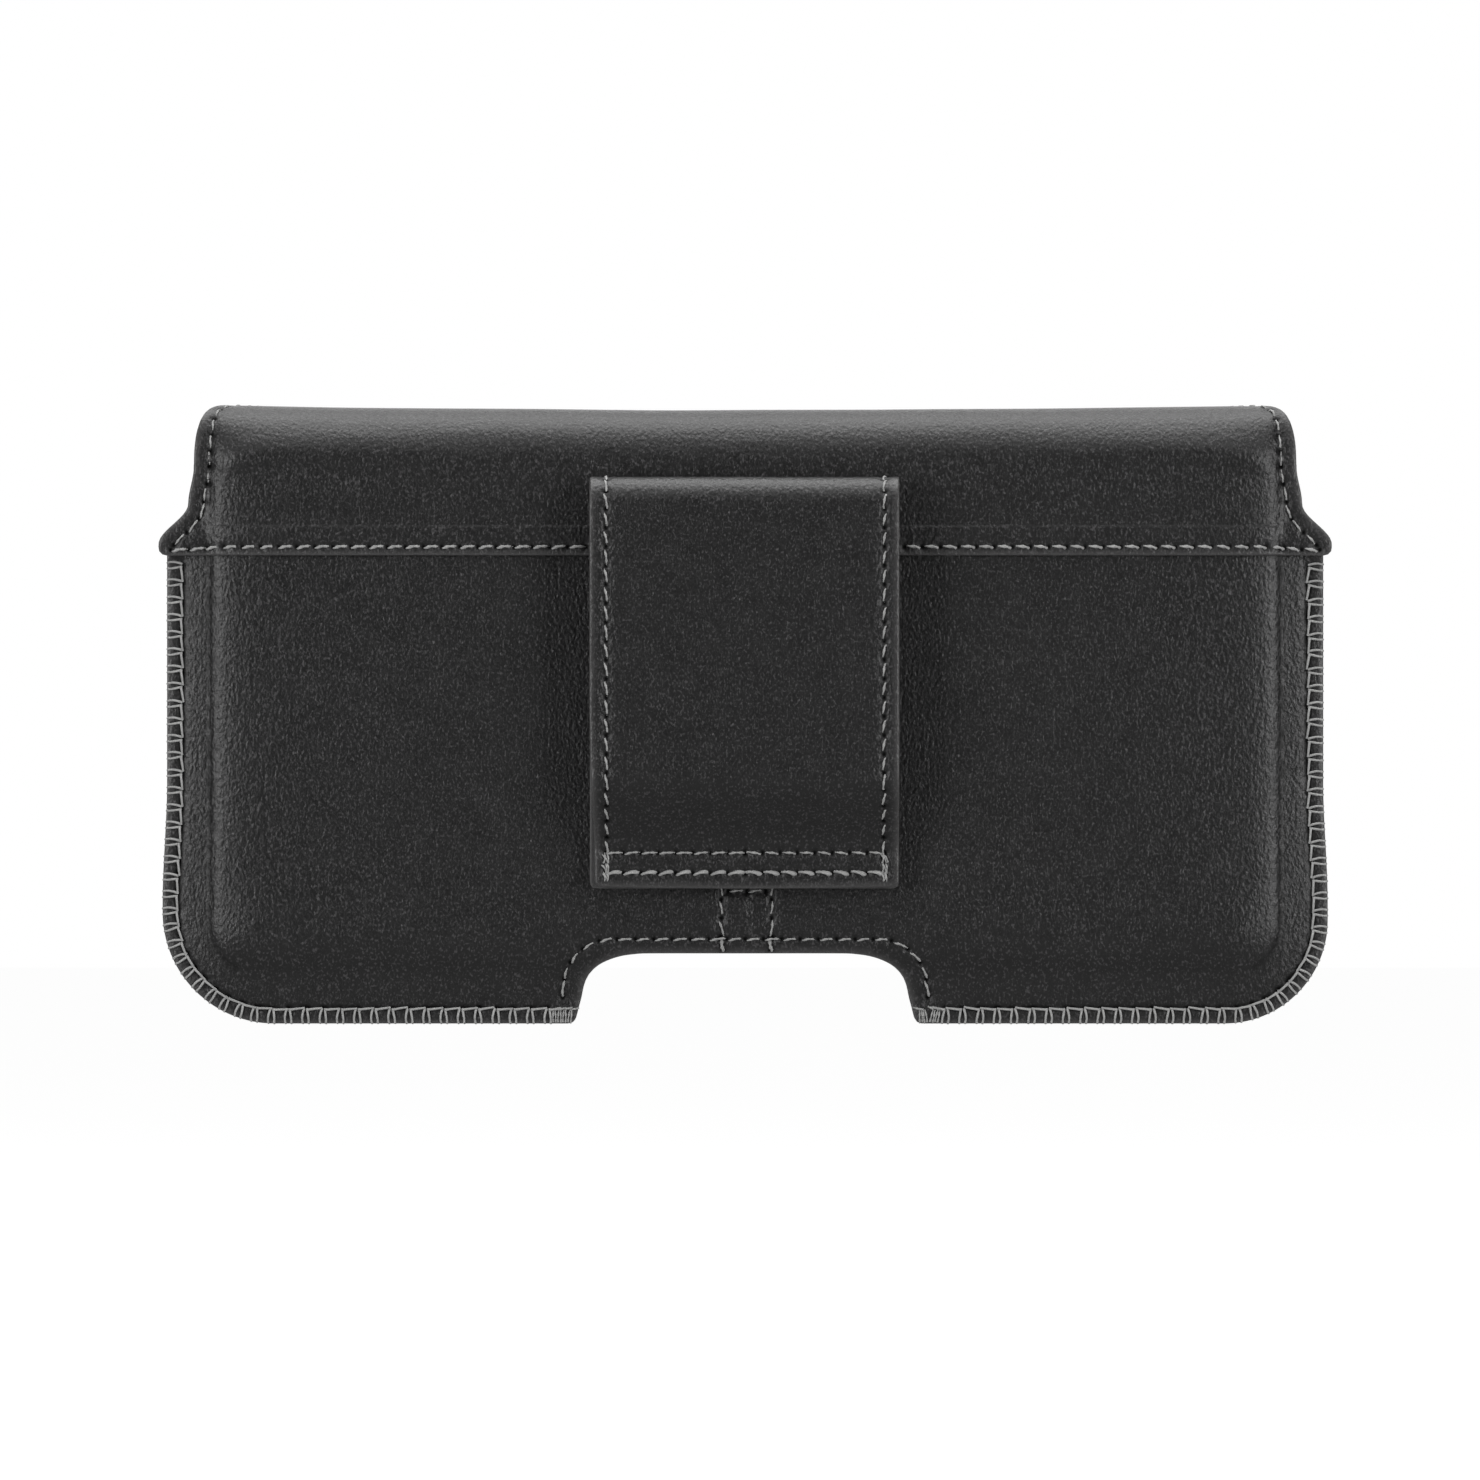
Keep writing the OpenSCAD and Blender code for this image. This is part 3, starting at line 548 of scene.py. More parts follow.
def threadTree(name, strands):
    tree = bpy.data.node_groups.new(name, "GeometryNodeTree")
    tree.interface.new_socket("Geometry", in_out="INPUT", socket_type="NodeSocketGeometry")
    tree.interface.new_socket("Geometry", in_out="OUTPUT", socket_type="NodeSocketGeometry")
    for label, value in (("Pitch", 2.8 * mm), ("Length", 2.3 * mm), ("Sweep", 0.3 * mm), ("Rise", 0.3 * mm),
                         ("Thread", 0.27 * mm), ("Twist", 7.0), ("Flat", 0.62), ("Slant", 0.05),
                         ("Wobble", 0.07), ("Seed", 3)):
        kind = "NodeSocketInt" if label == "Seed" else "NodeSocketFloat"
        tree.interface.new_socket(label, in_out="INPUT", socket_type=kind).default_value = value
    tree.interface.new_socket("Material", in_out="INPUT", socket_type="NodeSocketMaterial")
    given = tree.nodes.new("NodeGroupInput").outputs
    line = addNode(tree, "GeometryNodeMeshToCurve", {0: given["Geometry"]}).outputs[0]
    length = addNode(tree, "GeometryNodeCurveLength", {0: line}).outputs[0]
    gaps = math2(tree, "ROUND", math2(tree, "DIVIDE", length, given["Pitch"]))
    count = math2(tree, "ADD", gaps, 1.0)
    places = addNode(tree, "GeometryNodeResampleCurve", {"Curve": line, "Count": count},
                     mode="COUNT").outputs[0]
    away = addNode(tree, "GeometryNodeInputNamedAttribute", {"Name": "away"},
                   data_type="FLOAT_VECTOR").outputs[0]
    tangent = tree.nodes.new("GeometryNodeInputTangent").outputs[0]
    turn = addNode(tree, "FunctionNodeAxesToRotation", {"Primary Axis": away, "Secondary Axis": tangent},
                   primary_axis="Z", secondary_axis="X").outputs[0]
    wobble = addNode(tree, "FunctionNodeRandomValue",
                     {"Min": (-1, -1, -1), "Max": (1, 1, 1), "Seed": given["Seed"]},
                     data_type="FLOAT_VECTOR").outputs[0]
    part = addNode(tree, "ShaderNodeCombineXYZ", {"X": 0.0, "Y": 0.0, "Z": given["Wobble"]}).outputs[0]
    shake = addNode(tree, "ShaderNodeVectorMath", {0: wobble, 1: part}, operation="MULTIPLY").outputs[0]
    lean = addNode(tree, "ShaderNodeCombineXYZ", {"Z": given["Slant"]}).outputs[0]
    shake = addNode(tree, "ShaderNodeVectorMath", {0: shake, 1: lean}, operation="ADD").outputs[0]
    extra = addNode(tree, "FunctionNodeEulerToRotation", {0: shake}).outputs[0]
    turn = addNode(tree, "FunctionNodeRotateRotation", {0: turn, 1: extra}, rotation_space="LOCAL").outputs[0]

    one = addNode(tree, "GeometryNodeJoinGeometry")
    for curve in strands(tree):
        tree.links.new(curve, one.inputs[0])
    size = addNode(tree, "ShaderNodeCombineXYZ",
                   {"X": given["Length"], "Y": given["Sweep"], "Z": given["Rise"]}).outputs[0]
    shaped = addNode(tree, "GeometryNodeTransform", {"Geometry": one.outputs[0], "Scale": size}).outputs[0]
    factor = tree.nodes.new("GeometryNodeSplineParameter").outputs["Factor"]
    twist = math2(tree, "MULTIPLY", factor, given["Twist"])
    twisted = addNode(tree, "GeometryNodeSetCurveTilt", {"Curve": shaped, "Tilt": twist}).outputs[0]
    ring = addNode(tree, "GeometryNodeCurvePrimitiveCircle",
                   {"Resolution": 6, "Radius": given["Thread"]}).outputs[0]
    flat = addNode(tree, "ShaderNodeCombineXYZ", {"X": 1.0, "Y": given["Flat"], "Z": 1.0}).outputs[0]
    ring = addNode(tree, "GeometryNodeTransform", {"Geometry": ring, "Scale": flat}).outputs[0]
    tube = addNode(tree, "GeometryNodeCurveToMesh",
                   {"Curve": twisted, "Profile Curve": ring, "Fill Caps": True})
    copies = addNode(tree, "GeometryNodeInstanceOnPoints",
                     {"Points": places, "Instance": tube.outputs[0], "Rotation": turn}).outputs[0]
    real = addNode(tree, "GeometryNodeRealizeInstances", {0: copies}).outputs[0]
    soft = addNode(tree, "GeometryNodeSetShadeSmooth", {0: real}).outputs[0]
    done = addNode(tree, "GeometryNodeSetMaterial",
                   {"Geometry": soft, "Material": given["Material"]}).outputs[0]
    result = tree.nodes.new("NodeGroupOutput")
    tree.links.new(done, result.inputs[0])
    return tree


def runningStrand(tree):
    return [strand(tree, (-0.5, -0.6, -1.3), (-0.42, 0.15, 1.2), (0.22, 0.5, 1.1), (0.5, 0.1, -1.3), 8)]


def guideMesh(name, parts):
    points, away, edges = [], [], []
    for line, normals in parts:
        start = len(points)
        points.extend(line.tolist())
        away.extend(normals.tolist())
        edges.extend((start + i, start + i + 1) for i in range(len(line) - 1))
    mesh = bpy.data.meshes.new(name)
    mesh.from_pydata(points, edges, [])
    mesh.attributes.new("away", "FLOAT_VECTOR", "POINT").data.foreach_set("vector", np.array(away).ravel())
    return mesh


def onSurface(line, surface, top):
    here = surface(line[:, 0], line[:, 1], np.full(len(line), top))
    up = surface(line[:, 0], line[:, 1], np.full(len(line), top + 0.1 * mm)) - here
    return here, up / np.linalg.norm(up, axis=1)[:, None]


def stitched(name, tree, guides, **values):
    meshes = []
    for i, (parts, own) in enumerate(guides):
        guide = newObject(name + "Guide", guideMesh(name + "Guide", parts))
        modifier = guide.modifiers.new("thread", "NODES")
        modifier.node_group = tree
        chosen = {**values, **own, "Material": greyThread, "Seed": 5 + i}
        for item in tree.interface.items_tree:
            if item.item_type == "SOCKET" and item.in_out == "INPUT" and item.name in chosen:
                modifier[item.identifier] = chosen[item.name]
        bpy.context.view_layer.update()
        ready = guide.evaluated_get(bpy.context.evaluated_depsgraph_get())
        meshes.append(bpy.data.meshes.new_from_object(ready))
        bpy.data.objects.remove(guide)
    pieces = [newObject(name, m) for m in meshes]
    if len(pieces) > 1:
        with bpy.context.temp_override(active_object=pieces[0], object=pieces[0],
                                       selected_editable_objects=pieces, selected_objects=pieces):
            bpy.ops.object.join()
    pieces[0].name = name
    return pieces[0]


runningThread = threadTree("runningStitch", runningStrand)


# The guide line of a row on its piece, with the row's own sizes
def rowGuide(row, surface, **sizes):
    line = row["centres"]
    if len(line) == 1:
        line = np.vstack([line, line + (row["line"][-1] - row["line"][0]) * 0.02])
    elif len(line) > 2:
        line = spaced(line, 0.4 * mm)
    return [onSurface(line, surface, -row["depth"])], {"Pitch": row["pitch"], **sizes}


print("stitch trees made")

# Rear panel
sewing = {
    "pitch": 2.8 * mm,
    "columnPitch": 2.9 * mm,
    "footPitch": 2.7 * mm,
    "inset": 2.4 * mm,
    "seamHeight": 1.3 * mm,
}

flangeY = panelHigh.y - hide["panelThickness"]


def rearFace(x, z, h):
    y = flangeY - formHeight(insideForm(x, z), footward(x, z)) - h
    return np.stack([x, y, z], 1)


centreSeam = {
    "x": 0.7 * mm,
    "width": 0.3 * mm,
    "depth": 0.1 * mm,
    "columns": (-3.7 * mm, 4.1 * mm),
    "columnFootZ": -42.2 * mm,
    "knotZ": -42.5 * mm,      # the last stitch of each column, sewn several times
    "bar": (-2.6 * mm, 3.2 * mm),
    "marks": (-0.3 * mm, -0.12 * mm, 0, 0.12 * mm, 0.3 * mm),
}


def rearRelief(flat):
    x, z = flat.T
    below = smooth((loopLow.z - z) / mm + 1)
    seam = -centreSeam["depth"] * np.exp(-((x - centreSeam["x"]) / centreSeam["width"]) ** 2) * below
    edge = distanceTo(flat, spaced(panelOutline, 0.4 * mm, closed=True))
    pressed = -form["pressed"] * smooth(1 - edge / form["pressedWidth"]) * (z < form["pressedTopZ"])
    slope = form["flangeSlope"] * np.clip(insideForm(x, z) - form["wallFrom"], -form["slopeWidth"], 0)
    return seam + pressed + slope + uneven(flat, hide["unevenness"])


panelOutline = bodyOutline(panelHigh.z, outlineSizes["topRadius"])
notchZ = outlineSizes["notchTopZ"]
notchHalf = joined([(0, -42.5)], arc(20.6, -50.1, 7.6, 95, 4, 0.4), [(28.3, -51.6)]) * mm
notchPath = np.vstack([notchHalf[::-1] * (-1, 1), notchHalf[1:]])
notchRow = sewnRow(notchPath, sewing["pitch"])
seamFoot = notchZ + 0.6 * mm
blanket = {
    "pitch": 2.7 * mm,
    "reach": 2.35 * mm,
    "thread": 0.21 * mm,
    "thickness": 3.1 * mm,
    "sink": 0.72 * mm,
    "holeReach": 0.93,        # share of the reach
    "holeShade": 0.9,
    "fromZ": 15.5 * mm,
    "untilX": 30.6 * mm,
    "tackAt": (27.3 * mm, 29.6 * mm),
}
edgeLines, blanketRows = {}, []
for side in (1, -1):
    edgeLine = halfOutline(side, panelHigh.z, outlineSizes["topRadius"])
    edgeLine = edgeLine[(edgeLine[:, 1] < blanket["fromZ"]) & (edgeLine[:, 0] > blanket["untilX"])]
    edgeLine = spaced(edgeLine, 0.4 * mm)
    edgeLines[side] = edgeLine
    along = np.gradient(edgeLine, axis=0)
    along /= np.linalg.norm(along, axis=1)[:, None]
    seam = edgeLine + np.stack([along[:, 1], -along[:, 0]], 1) * blanket["reach"]
    row = sewnRow(seam * (side, 1), blanket["pitch"], depth=0.22 * mm, width=0.55 * mm, hole=0.5 * mm)
    centres = spaced(edgeLine, blanket["pitch"])
    turn = np.stack([np.interp(np.arange(len(centres)) * (len(edgeLine) - 1) / (len(centres) - 1),
                               np.arange(len(edgeLine)), along[:, i]) for i in (0, 1)], 1)
    holes = centres + np.stack([turn[:, 1], -turn[:, 0]], 1) * blanket["reach"] * blanket["holeReach"]
    row["holes"] = holes * (side, 1)
    row["shade"] = blanket["holeShade"]
    blanketRows.append(row)
columnPitch = sewing["columnPitch"]
columnRows = [sewnRow([(x, loopLow.z + 1.2 * mm), (x, centreSeam["columnFootZ"])], columnPitch)
              for x in centreSeam["columns"]]
knotRows = [sewnRow([(x, centreSeam["knotZ"]), (x + s * 0.3 * mm, seamFoot - 0.2 * mm)],
                    1.8 * mm, hole=0.3 * mm) for x, s in zip(centreSeam["columns"], (1, -1))]
barRow = sewnRow([(x, loopLow.z - 0.4 * mm) for x in centreSeam["bar"]], columnPitch)
seamLevels = np.arange(notchZ, loopLow.z, 0.5 * mm)
seamMarks = [plainRow(np.array([(centreSeam["x"] + s, z) for z in seamLevels]), 0.05 * mm)
             for s in centreSeam["marks"]]
creaseLine = np.array([(83.1, 18), (83.1, -40.5), (82.6, -43.2), (81.2, -45.4), (79.2, -46.8)]) * mm
creases = [plainRow(spaced(creaseLine * (side, 1), 0.5 * mm), 0.4 * mm, shade=form["creaseShade"])
           for side in (1, -1)]
rearPanel = cutSheet("rearPanel", panelOutline, rearFace, 0, hide["panelThickness"],
                     rows=[notchRow, barRow, *blanketRows, *columnRows, *knotRows, *seamMarks, *creases],
                     relief=rearRelief)
dress(rearPanel, "holster", "leather", outerLeather, "back_panel")
rearNotchThread = stitched("rearNotchThread", runningThread, [rowGuide(notchRow, rearFace)],
                           Length=2.2 * mm, Thread=0.23 * mm)
dress(rearNotchThread, "holster", "thread", greyThread, "notch_stitching_rear")
centreSeamGuides = [rowGuide(row, rearFace, Slant=s * 0.2) for row, s in zip(columnRows, (1, -1))]
centreSeamGuides += [rowGuide(row, rearFace, Length=1.6 * mm, Thread=0.32 * mm) for row in knotRows]
centreSeamGuides.append(rowGuide(barRow, rearFace))
centreSeamThread = stitched("centreSeamThread", runningThread, centreSeamGuides, Length=2.4 * mm,
                            Thread=0.21 * mm)
dress(centreSeamThread, "holster", "thread", greyThread, "centre_seam_stitching")
print("rear panel made")

# Flap: one leather from the rear leaf over the top to the front
flap = {
    "foldRadius": 9 * mm,
    "earHeight": 1.8 * mm,
    "earRise": 6.2 * mm,
    "waist": 86.4 * mm,
    "waistZ": 25 * mm,
    "shoulder": 85.5 * mm,
    "frontHalf": 77.5 * mm,
    "narrowFrom": 3.2 * mm,
    "narrowTo": 21.6 * mm,
    "cornerRadius": 15 * mm,
    "sag": 0.7 * mm,
    "sagHalf": 82 * mm,
    "lift": 0.45 * mm,
    "edgeMark": 0.2 * mm,     # the panel's top edge, felt through the leather
    "edgeMarkReach": 6 * mm,
    "stepEnds": (15 * mm, 25 * mm),  # where the form's step runs out over the fold
    "ridgeZ": 32.8 * mm,
    "ridge": 0.4 * mm,
    "ridgeFrom": 36 * mm,     # the ridge rises from here outwards, over the next value
    "ridgeRise": 30 * mm,
    "ridgeTo": 79 * mm,
    "ridgeEnd": 4 * mm,
    "ridgeDip": 1.6 * mm,     # the ridge's outer end turns down, from the next value over the one after
    "ridgeDipFrom": 70 * mm,
    "ridgeDipRun": 12 * mm,
    "ridgeSoftSide": 3.2 * mm,
    "ridgeSteepSide": 1.5 * mm,
    "foldMarks": 0.05 * mm,
    "foldMarksAt": 17.5 * mm,
    "foldMarksReach": 3 * mm,
    "bendFromY": 8.4 * mm,
    "bendToY": 19 * mm,
    "nearEdge": 0.9 * mm,     # how much closer to the edge the side rows run at the fold
    "nearEdgeAt": 27 * mm,
    "nearEdgeReach": 8 * mm,
}
foldZ = flapHigh.z - flap["foldRadius"]
rearFoldY = leafLow.y + flap["foldRadius"]
frontFoldY = flapHigh.y - flap["foldRadius"]
flapSection = joined([(leafLow.y, leafLow.z)],
                     arc(rearFoldY, foldZ, flap["foldRadius"], 180, 90),
                     arc(frontFoldY, foldZ, flap["foldRadius"], 90, 0),
                     [(flapHigh.y, flapLow.z)])
flapFold = Fold(flapSection)


def flapFace(u, v, h):
    low, high = flap["stepEnds"]
    step = form["raise"] - formHeight(form["halfWidth"] - np.abs(u))
    y, z = flapFold.at(v, h - step * (1 - smooth((v - low) / (high - low))))
    high = smooth((z - foldZ) / flap["foldRadius"])
    z = z + high * (flap["lift"] - flap["sag"] * np.clip(1 - (u / flap["sagHalf"]) ** 2, 0, None))
    return np.stack([u, y, z], 1)


def flapHalf(v):
    y, z = flapFold.at(v, 0 * v)
    z = np.where(v > flapFold.length / 2, foldZ, z)
    rise = smooth((z - flap["waistZ"]) / (foldZ - flap["waistZ"]))
    waist = flap["waist"] - (flap["waist"] - flap["shoulder"]) * rise
    rise = smooth((z - leafLow.z - flap["earHeight"]) / flap["earRise"])
    ear = leafHigh.x - (leafHigh.x - flap["waist"]) * rise
    narrow = smooth((y - flap["narrowFrom"]) / (flap["narrowTo"] - flap["narrowFrom"]))
    return np.where(z < flap["waistZ"], ear, waist) - (flap["shoulder"] - flap["frontHalf"]) * narrow


tipV = flapFold.length
cornerR = flap["cornerRadius"]
sideV = np.arange(1.2 * mm, tipV - cornerR, 0.4 * mm)
flapRight = joined([(0, 0)], arc(leafHigh.x - 1.2 * mm, 1.2 * mm, 1.2 * mm, -90, 0),
                   np.stack([flapHalf(sideV), sideV], 1),
                   arc(flap["frontHalf"] - cornerR, tipV - cornerR, cornerR, 0, 90), [(0, tipV)])
flapOutline = bothSides(flapRight[::-1])


def foldLines(flat):
    return np.array([noise.noise((p[0] * 90, p[1] * 1300, 7.7)) for p in flat]) * flap["foldMarks"]


def flapRelief(flat):
    u, v = flat.T
    above = v - edgeV
    through = -flap["edgeMark"] * smooth(above / (0.3 * mm)) * (1 - smooth(above / flap["edgeMarkReach"]))
    turn = smooth((np.abs(u) - flap["ridgeDipFrom"]) / flap["ridgeDipRun"])
    ridgeV = flap["ridgeZ"] - leafLow.z - flap["ridgeDip"] * turn ** 2
    along = smooth((np.abs(u) - flap["ridgeFrom"]) / flap["ridgeRise"])
    along *= 1 - smooth((np.abs(u) - flap["ridgeTo"]) / flap["ridgeEnd"])
    off = v - ridgeV
    width = np.where(off > 0, flap["ridgeSoftSide"], flap["ridgeSteepSide"])
    ridge = flap["ridge"] * along * np.exp(-(off / width) ** 2)
    folds = foldLines(flat) * np.exp(-((v - flap["foldMarksAt"]) / flap["foldMarksReach"]) ** 2)
    return through + ridge + folds + uneven(flat, hide["unevenness"] * 1.3)


edgeRing = spaced(flapRight, 0.4 * mm)
inset = sewing["inset"]
nearTop = 1 - np.clip(np.abs(edgeRing[:, 1] - flap["nearEdgeAt"]) / flap["nearEdgeReach"], 0, 1)
sewLine = edgeRing + leftOf(edgeRing) * (inset - flap["nearEdge"] * smooth(nearTop))[:, None]
sewLine = sewLine[(edgeRing[:, 1] > 2.2 * mm) & (sewLine[:, 0] > 0)]
sewLine = spaced(np.vstack([sewLine, [(0, tipV - inset)]]), 0.4 * mm)
borderRows = [sewnRow(sewLine * (side, 1), sewing["pitch"]) for side in (1, -1)]
seamV = sewing["seamHeight"]
seamEnd = leafHigh.x - 1.6 * mm
seamRows = []
for side in (1, -1):
    u = np.arange(loopHigh.x + 0.8 * mm, seamEnd, 0.5 * mm)
    dip = -0.45 * mm * smooth((u - 80 * mm) / (8 * mm))
    seamRows.append(sewnRow(np.stack([u * side, seamV + dip], 1)[::-1], sewing["pitch"]))
edgeV = panelHigh.z - leafLow.z
feltEdge = plainRow(np.array([(u, edgeV + 0.15 * mm) for u in np.arange(-82, 82.1, 0.5) * mm]), 0.25 * mm)
flapSkin = cutSheet("flapSkin", flapOutline, flapFace, 0, hide["flapThickness"],
                    rows=[*borderRows, *seamRows, feltEdge], relief=flapRelief)
dress(flapSkin, None, "leather", outerLeather, "flap_rear_leaf", "flap_leather")
innerOutline = spaced(flapOutline[flapOutline[:, 1] > edgeV + 0.2 * mm], 0.4 * mm, closed=True)
flapInner = cutSheet("flapInner", innerOutline, flapFace, -hide["flapThickness"], hide["innerThickness"],
                     grain=hide["innerGrain"])
dress(flapInner, None, "inner_leather", innerLeather, "flap_rear_lining", "flap_lining")
rearSeamThread = stitched("rearSeamThread", runningThread,
                          [rowGuide(row, flapFace, Sweep=s * 0.4 * mm, Slant=s * 0.03)
                           for row, s in zip(seamRows, (-1, 1))],
                          Length=2.2 * mm, Thread=0.29 * mm, Rise=0.34 * mm)
dress(rearSeamThread, "holster", "thread", greyThread, "rear_seam_stitching")
flapThread = stitched("flapThread", runningThread,
                      [rowGuide(row, flapFace, Sweep=s * 0.2 * mm) for row, s in zip(borderRows, (-1, 1))],
                      Length=2.15 * mm, Thread=0.2 * mm)
dress(flapThread, None, "thread", greyThread, "flap_side_stitching", "flap_front_stitching")
for piece in (flapSkin, flapInner, flapThread):
    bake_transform(piece)
print("flap made")

# Belt loop: a strap folded over at the top and sewn to itself at the foot
loop = {
    "faceLeather": 1.2 * mm,
    "lining": 0.8 * mm,
    "foldRadius": 4.4 * mm,
    "footY": 0.9 * mm,
    "dipLowZ": -29 * mm,
    "dipHighZ": -17.2 * mm,
    "cornerRadius": 0.8 * mm,
    "jogHighZ": 17 * mm,
    "jogLowZ": 13.4 * mm,
    "footTaper": 0.8 * mm,    # how much the left edge leans in at the foot
    "leftStandsOut": 0.25 * mm,
    "footBow": 0.35 * mm,
    "columnInset": 2.25 * mm,
    "footRows": (2.4 * mm, 5.5 * mm),
    "tackSteps": (-1.5, 0, 1.5),
}
loopFoldZ = loopHigh.z - loop["foldRadius"]
dip = np.linspace(0, 1, 24)
dipPath = np.stack([loop["footY"] + (loopLow.y - loop["footY"]) * smooth(dip),
                    loop["dipLowZ"] + (loop["dipHighZ"] - loop["dipLowZ"]) * dip], 1)
jogPath = np.stack([leafLow.y + (loopHigh.y - leafLow.y) * smooth(dip),
                    loop["jogHighZ"] + (loop["jogLowZ"] - loop["jogHighZ"]) * dip], 1)
loopFold = Fold(joined([(loop["footY"], loopLow.z)], dipPath,
                       arc(leafLow.y - loop["foldRadius"], loopFoldZ, loop["foldRadius"], 180, 0, 0.3 * mm),
                       jogPath, [(loopHigh.y, loopLow.z)]))


def loopFace(u, v, h):
    y, z = loopFold.at(v, h)
    return np.stack([u, y, z], 1)


halfW = loopHigh.x
loopR = loop["cornerRadius"]
loopEnd = loopFold.length
loopRight = joined([(0, loopEnd)], arc(halfW - loopR, loopEnd - loopR, loopR, 90, 0, 0.2 * mm),
                   arc(halfW - loopR, loopR, loopR, 0, -90, 0.2 * mm), [(0, 0)])
loopOutline = bothSides(spaced(loopRight, 0.4 * mm))
leftEdge = smooth(-loopOutline[:, 0] / (10 * mm) - 1)
taper = loop["footTaper"] * (1 - smooth(loopOutline[:, 1] / (30 * mm)))
loopOutline[:, 0] += leftEdge * (taper - loop["leftStandsOut"])
bow = loop["footBow"] * np.clip((loopOutline[:, 0] / halfW) ** 2, 0, 1)
loopOutline[:, 1] += bow * (loopOutline[:, 1] < 2 * mm)


def softRelief(flat):
    return uneven(flat, hide["unevenness"])


topV = loopFold.along[np.argmax(loopFold.points[:, 1])]
columnX = halfW - loop["columnInset"]
rowV = loop["footRows"]
loopColumns = [sewnRow([(s * columnX, topV + 1.2 * mm), (s * (columnX - 0.15 * mm), rowV[1] - 0.6 * mm)],
                       sewing["columnPitch"]) for s in (-1, 1)]
# Each foot row is sewn in two halves that lean towards each other
loopFootRows = [sewnRow([(a, v), (b, v)], sewing["footPitch"])
                for v in rowV for a, b in ((-columnX, 0), (0, columnX))]
beltLoop = cutSheet("beltLoop", loopOutline, loopFace, 0, loop["faceLeather"],
                    rows=[*loopColumns, *loopFootRows], relief=softRelief, grain=0.8 * mm)
dress(beltLoop, "holster", "leather", outerLeather, "belt_loop")
beltLoopLining = cutSheet("beltLoopLining", loopOutline, loopFace, -loop["faceLeather"], loop["lining"],
                          grain=hide["innerGrain"])
dress(beltLoopLining, "holster", "inner_leather", innerLeather, "belt_loop_lining")
tackRows = [sewnRow([(s * (columnX + 0.2 * mm * k), rowV[1] - 0.3 * mm),
                     (s * (columnX + 0.15 * mm * k), 0.9 * mm)], 1.3 * mm)
            for s in (-1, 1) for k in loop["tackSteps"]]
loopGuides = [rowGuide(row, loopFace, Sweep=s * 0.25 * mm, Slant=s * 0.12)
              for row, s in zip(loopColumns, (1, -1))]
loopGuides += [rowGuide(row, loopFace, Thread=0.37 * mm, Rise=0.4 * mm, Slant=s * 0.03, Sweep=0.7 * mm,
                        Twist=3.0, Length=s * 2.25 * mm) for row, s in zip(loopFootRows[:2], (1, -1))]
loopGuides += [rowGuide(row, loopFace, Slant=s * 0.03, Length=s * 2.2 * mm)
               for row, s in zip(loopFootRows[2:], (1, -1))]
loopGuides += [rowGuide(row, loopFace, Length=1.9 * mm, Wobble=0.45, Sweep=0.5 * mm, Thread=0.19 * mm)
               for row in tackRows]
loopThread = stitched("loopThread", runningThread, loopGuides, Length=2.2 * mm, Thread=0.23 * mm)
dress(loopThread, "holster", "thread", greyThread, "belt_loop_stitching")
print("belt loop made")

# Front panel: a moulded shell. Its pattern is flat, with the wall of the form folded out.
front = {
    "cornerRadius": 8 * mm,
    "shoulder": 5.5 * mm,
    "crease": 1.5 * mm,
    "mouthCorner": 1.5 * mm,
    "patternReach": 45 * mm,  # flange beyond the wall, more than any outline needs
}
frontFlangeY = frontLow.y + hide["panelThickness"]


def shellSection(r, shoulder, crease, faceY, seatY):
    return Fold(joined([(0, faceY)], arc(r - shoulder, faceY - shoulder, shoulder, 90, 0),
                       arc(r + crease, seatY + crease, crease, 180, 270, 0.2 * mm),
                       [(front["patternReach"], seatY)]))


def shellSurface(section, half, lowZ, r):
    def place(u, v, h):
        coreX = np.clip(u, r - half, half - r)
        coreZ = np.maximum(v, lowZ + r)
        dx, dz = u - coreX, v - coreZ
        out = np.hypot(dx, dz)
        dx, dz = (np.where(out > 1e-9, d / np.maximum(out, 1e-9), 0) for d in (dx, dz))
        far, y = section.at(out, h)
        return np.stack([coreX + dx * far, y, coreZ + dz * far], 1)
    return place


def unfolded(outline, section, half, lowZ, r):
    outline = spaced(outline, 0.15 * mm, closed=True)
    core = np.stack([np.clip(outline[:, 0], r - half, half - r), np.maximum(outline[:, 1], lowZ + r)], 1)
    offset = outline - core
    out = np.linalg.norm(offset, axis=1)
    reach = section.points[:, 0] + np.arange(len(section.points)) * 1e-12
    along = np.interp(out, np.maximum.accumulate(reach), section.along)
    return core + offset * (along / np.maximum(out, 1e-9))[:, None]


frontSection = shellSection(front["cornerRadius"], front["shoulder"], front["crease"], frontHigh.y,
                            frontFlangeY)
frontPlan = dict(half=form["halfWidth"], lowZ=form["footZ"], r=front["cornerRadius"])
frontFace = shellSurface(frontSection, **frontPlan)
frontOutline = bodyOutline(frontHigh.z, front["mouthCorner"])
frontPattern = unfolded(frontOutline, frontSection, **frontPlan)
mouthRow = sewnRow([(77 * mm, frontHigh.z - 2.3 * mm), (-77 * mm, frontHigh.z - 2.3 * mm)], sewing["pitch"])
frontNotchZ = form["footZ"] + front["cornerRadius"] - 0.2 * mm
frontNotchRow = sewnRow([(17.5 * mm, frontNotchZ), (-17.5 * mm, frontNotchZ)], sewing["pitch"])
frontPanel = cutSheet("frontPanel", frontPattern, frontFace, 0, hide["panelThickness"],
                      rows=[mouthRow, frontNotchRow], relief=softRelief)
dress(frontPanel, "holster", "leather", outerLeather, "front_panel")
for name, row, node in (("mouthThread", mouthRow, "mouth_stitching"),
                        ("frontNotchThread", frontNotchRow, "notch_stitching_front")):
    thread = stitched(name, runningThread, [rowGuide(row, frontFace)], Length=2.35 * mm)
    dress(thread, "holster", "thread", greyThread, node)

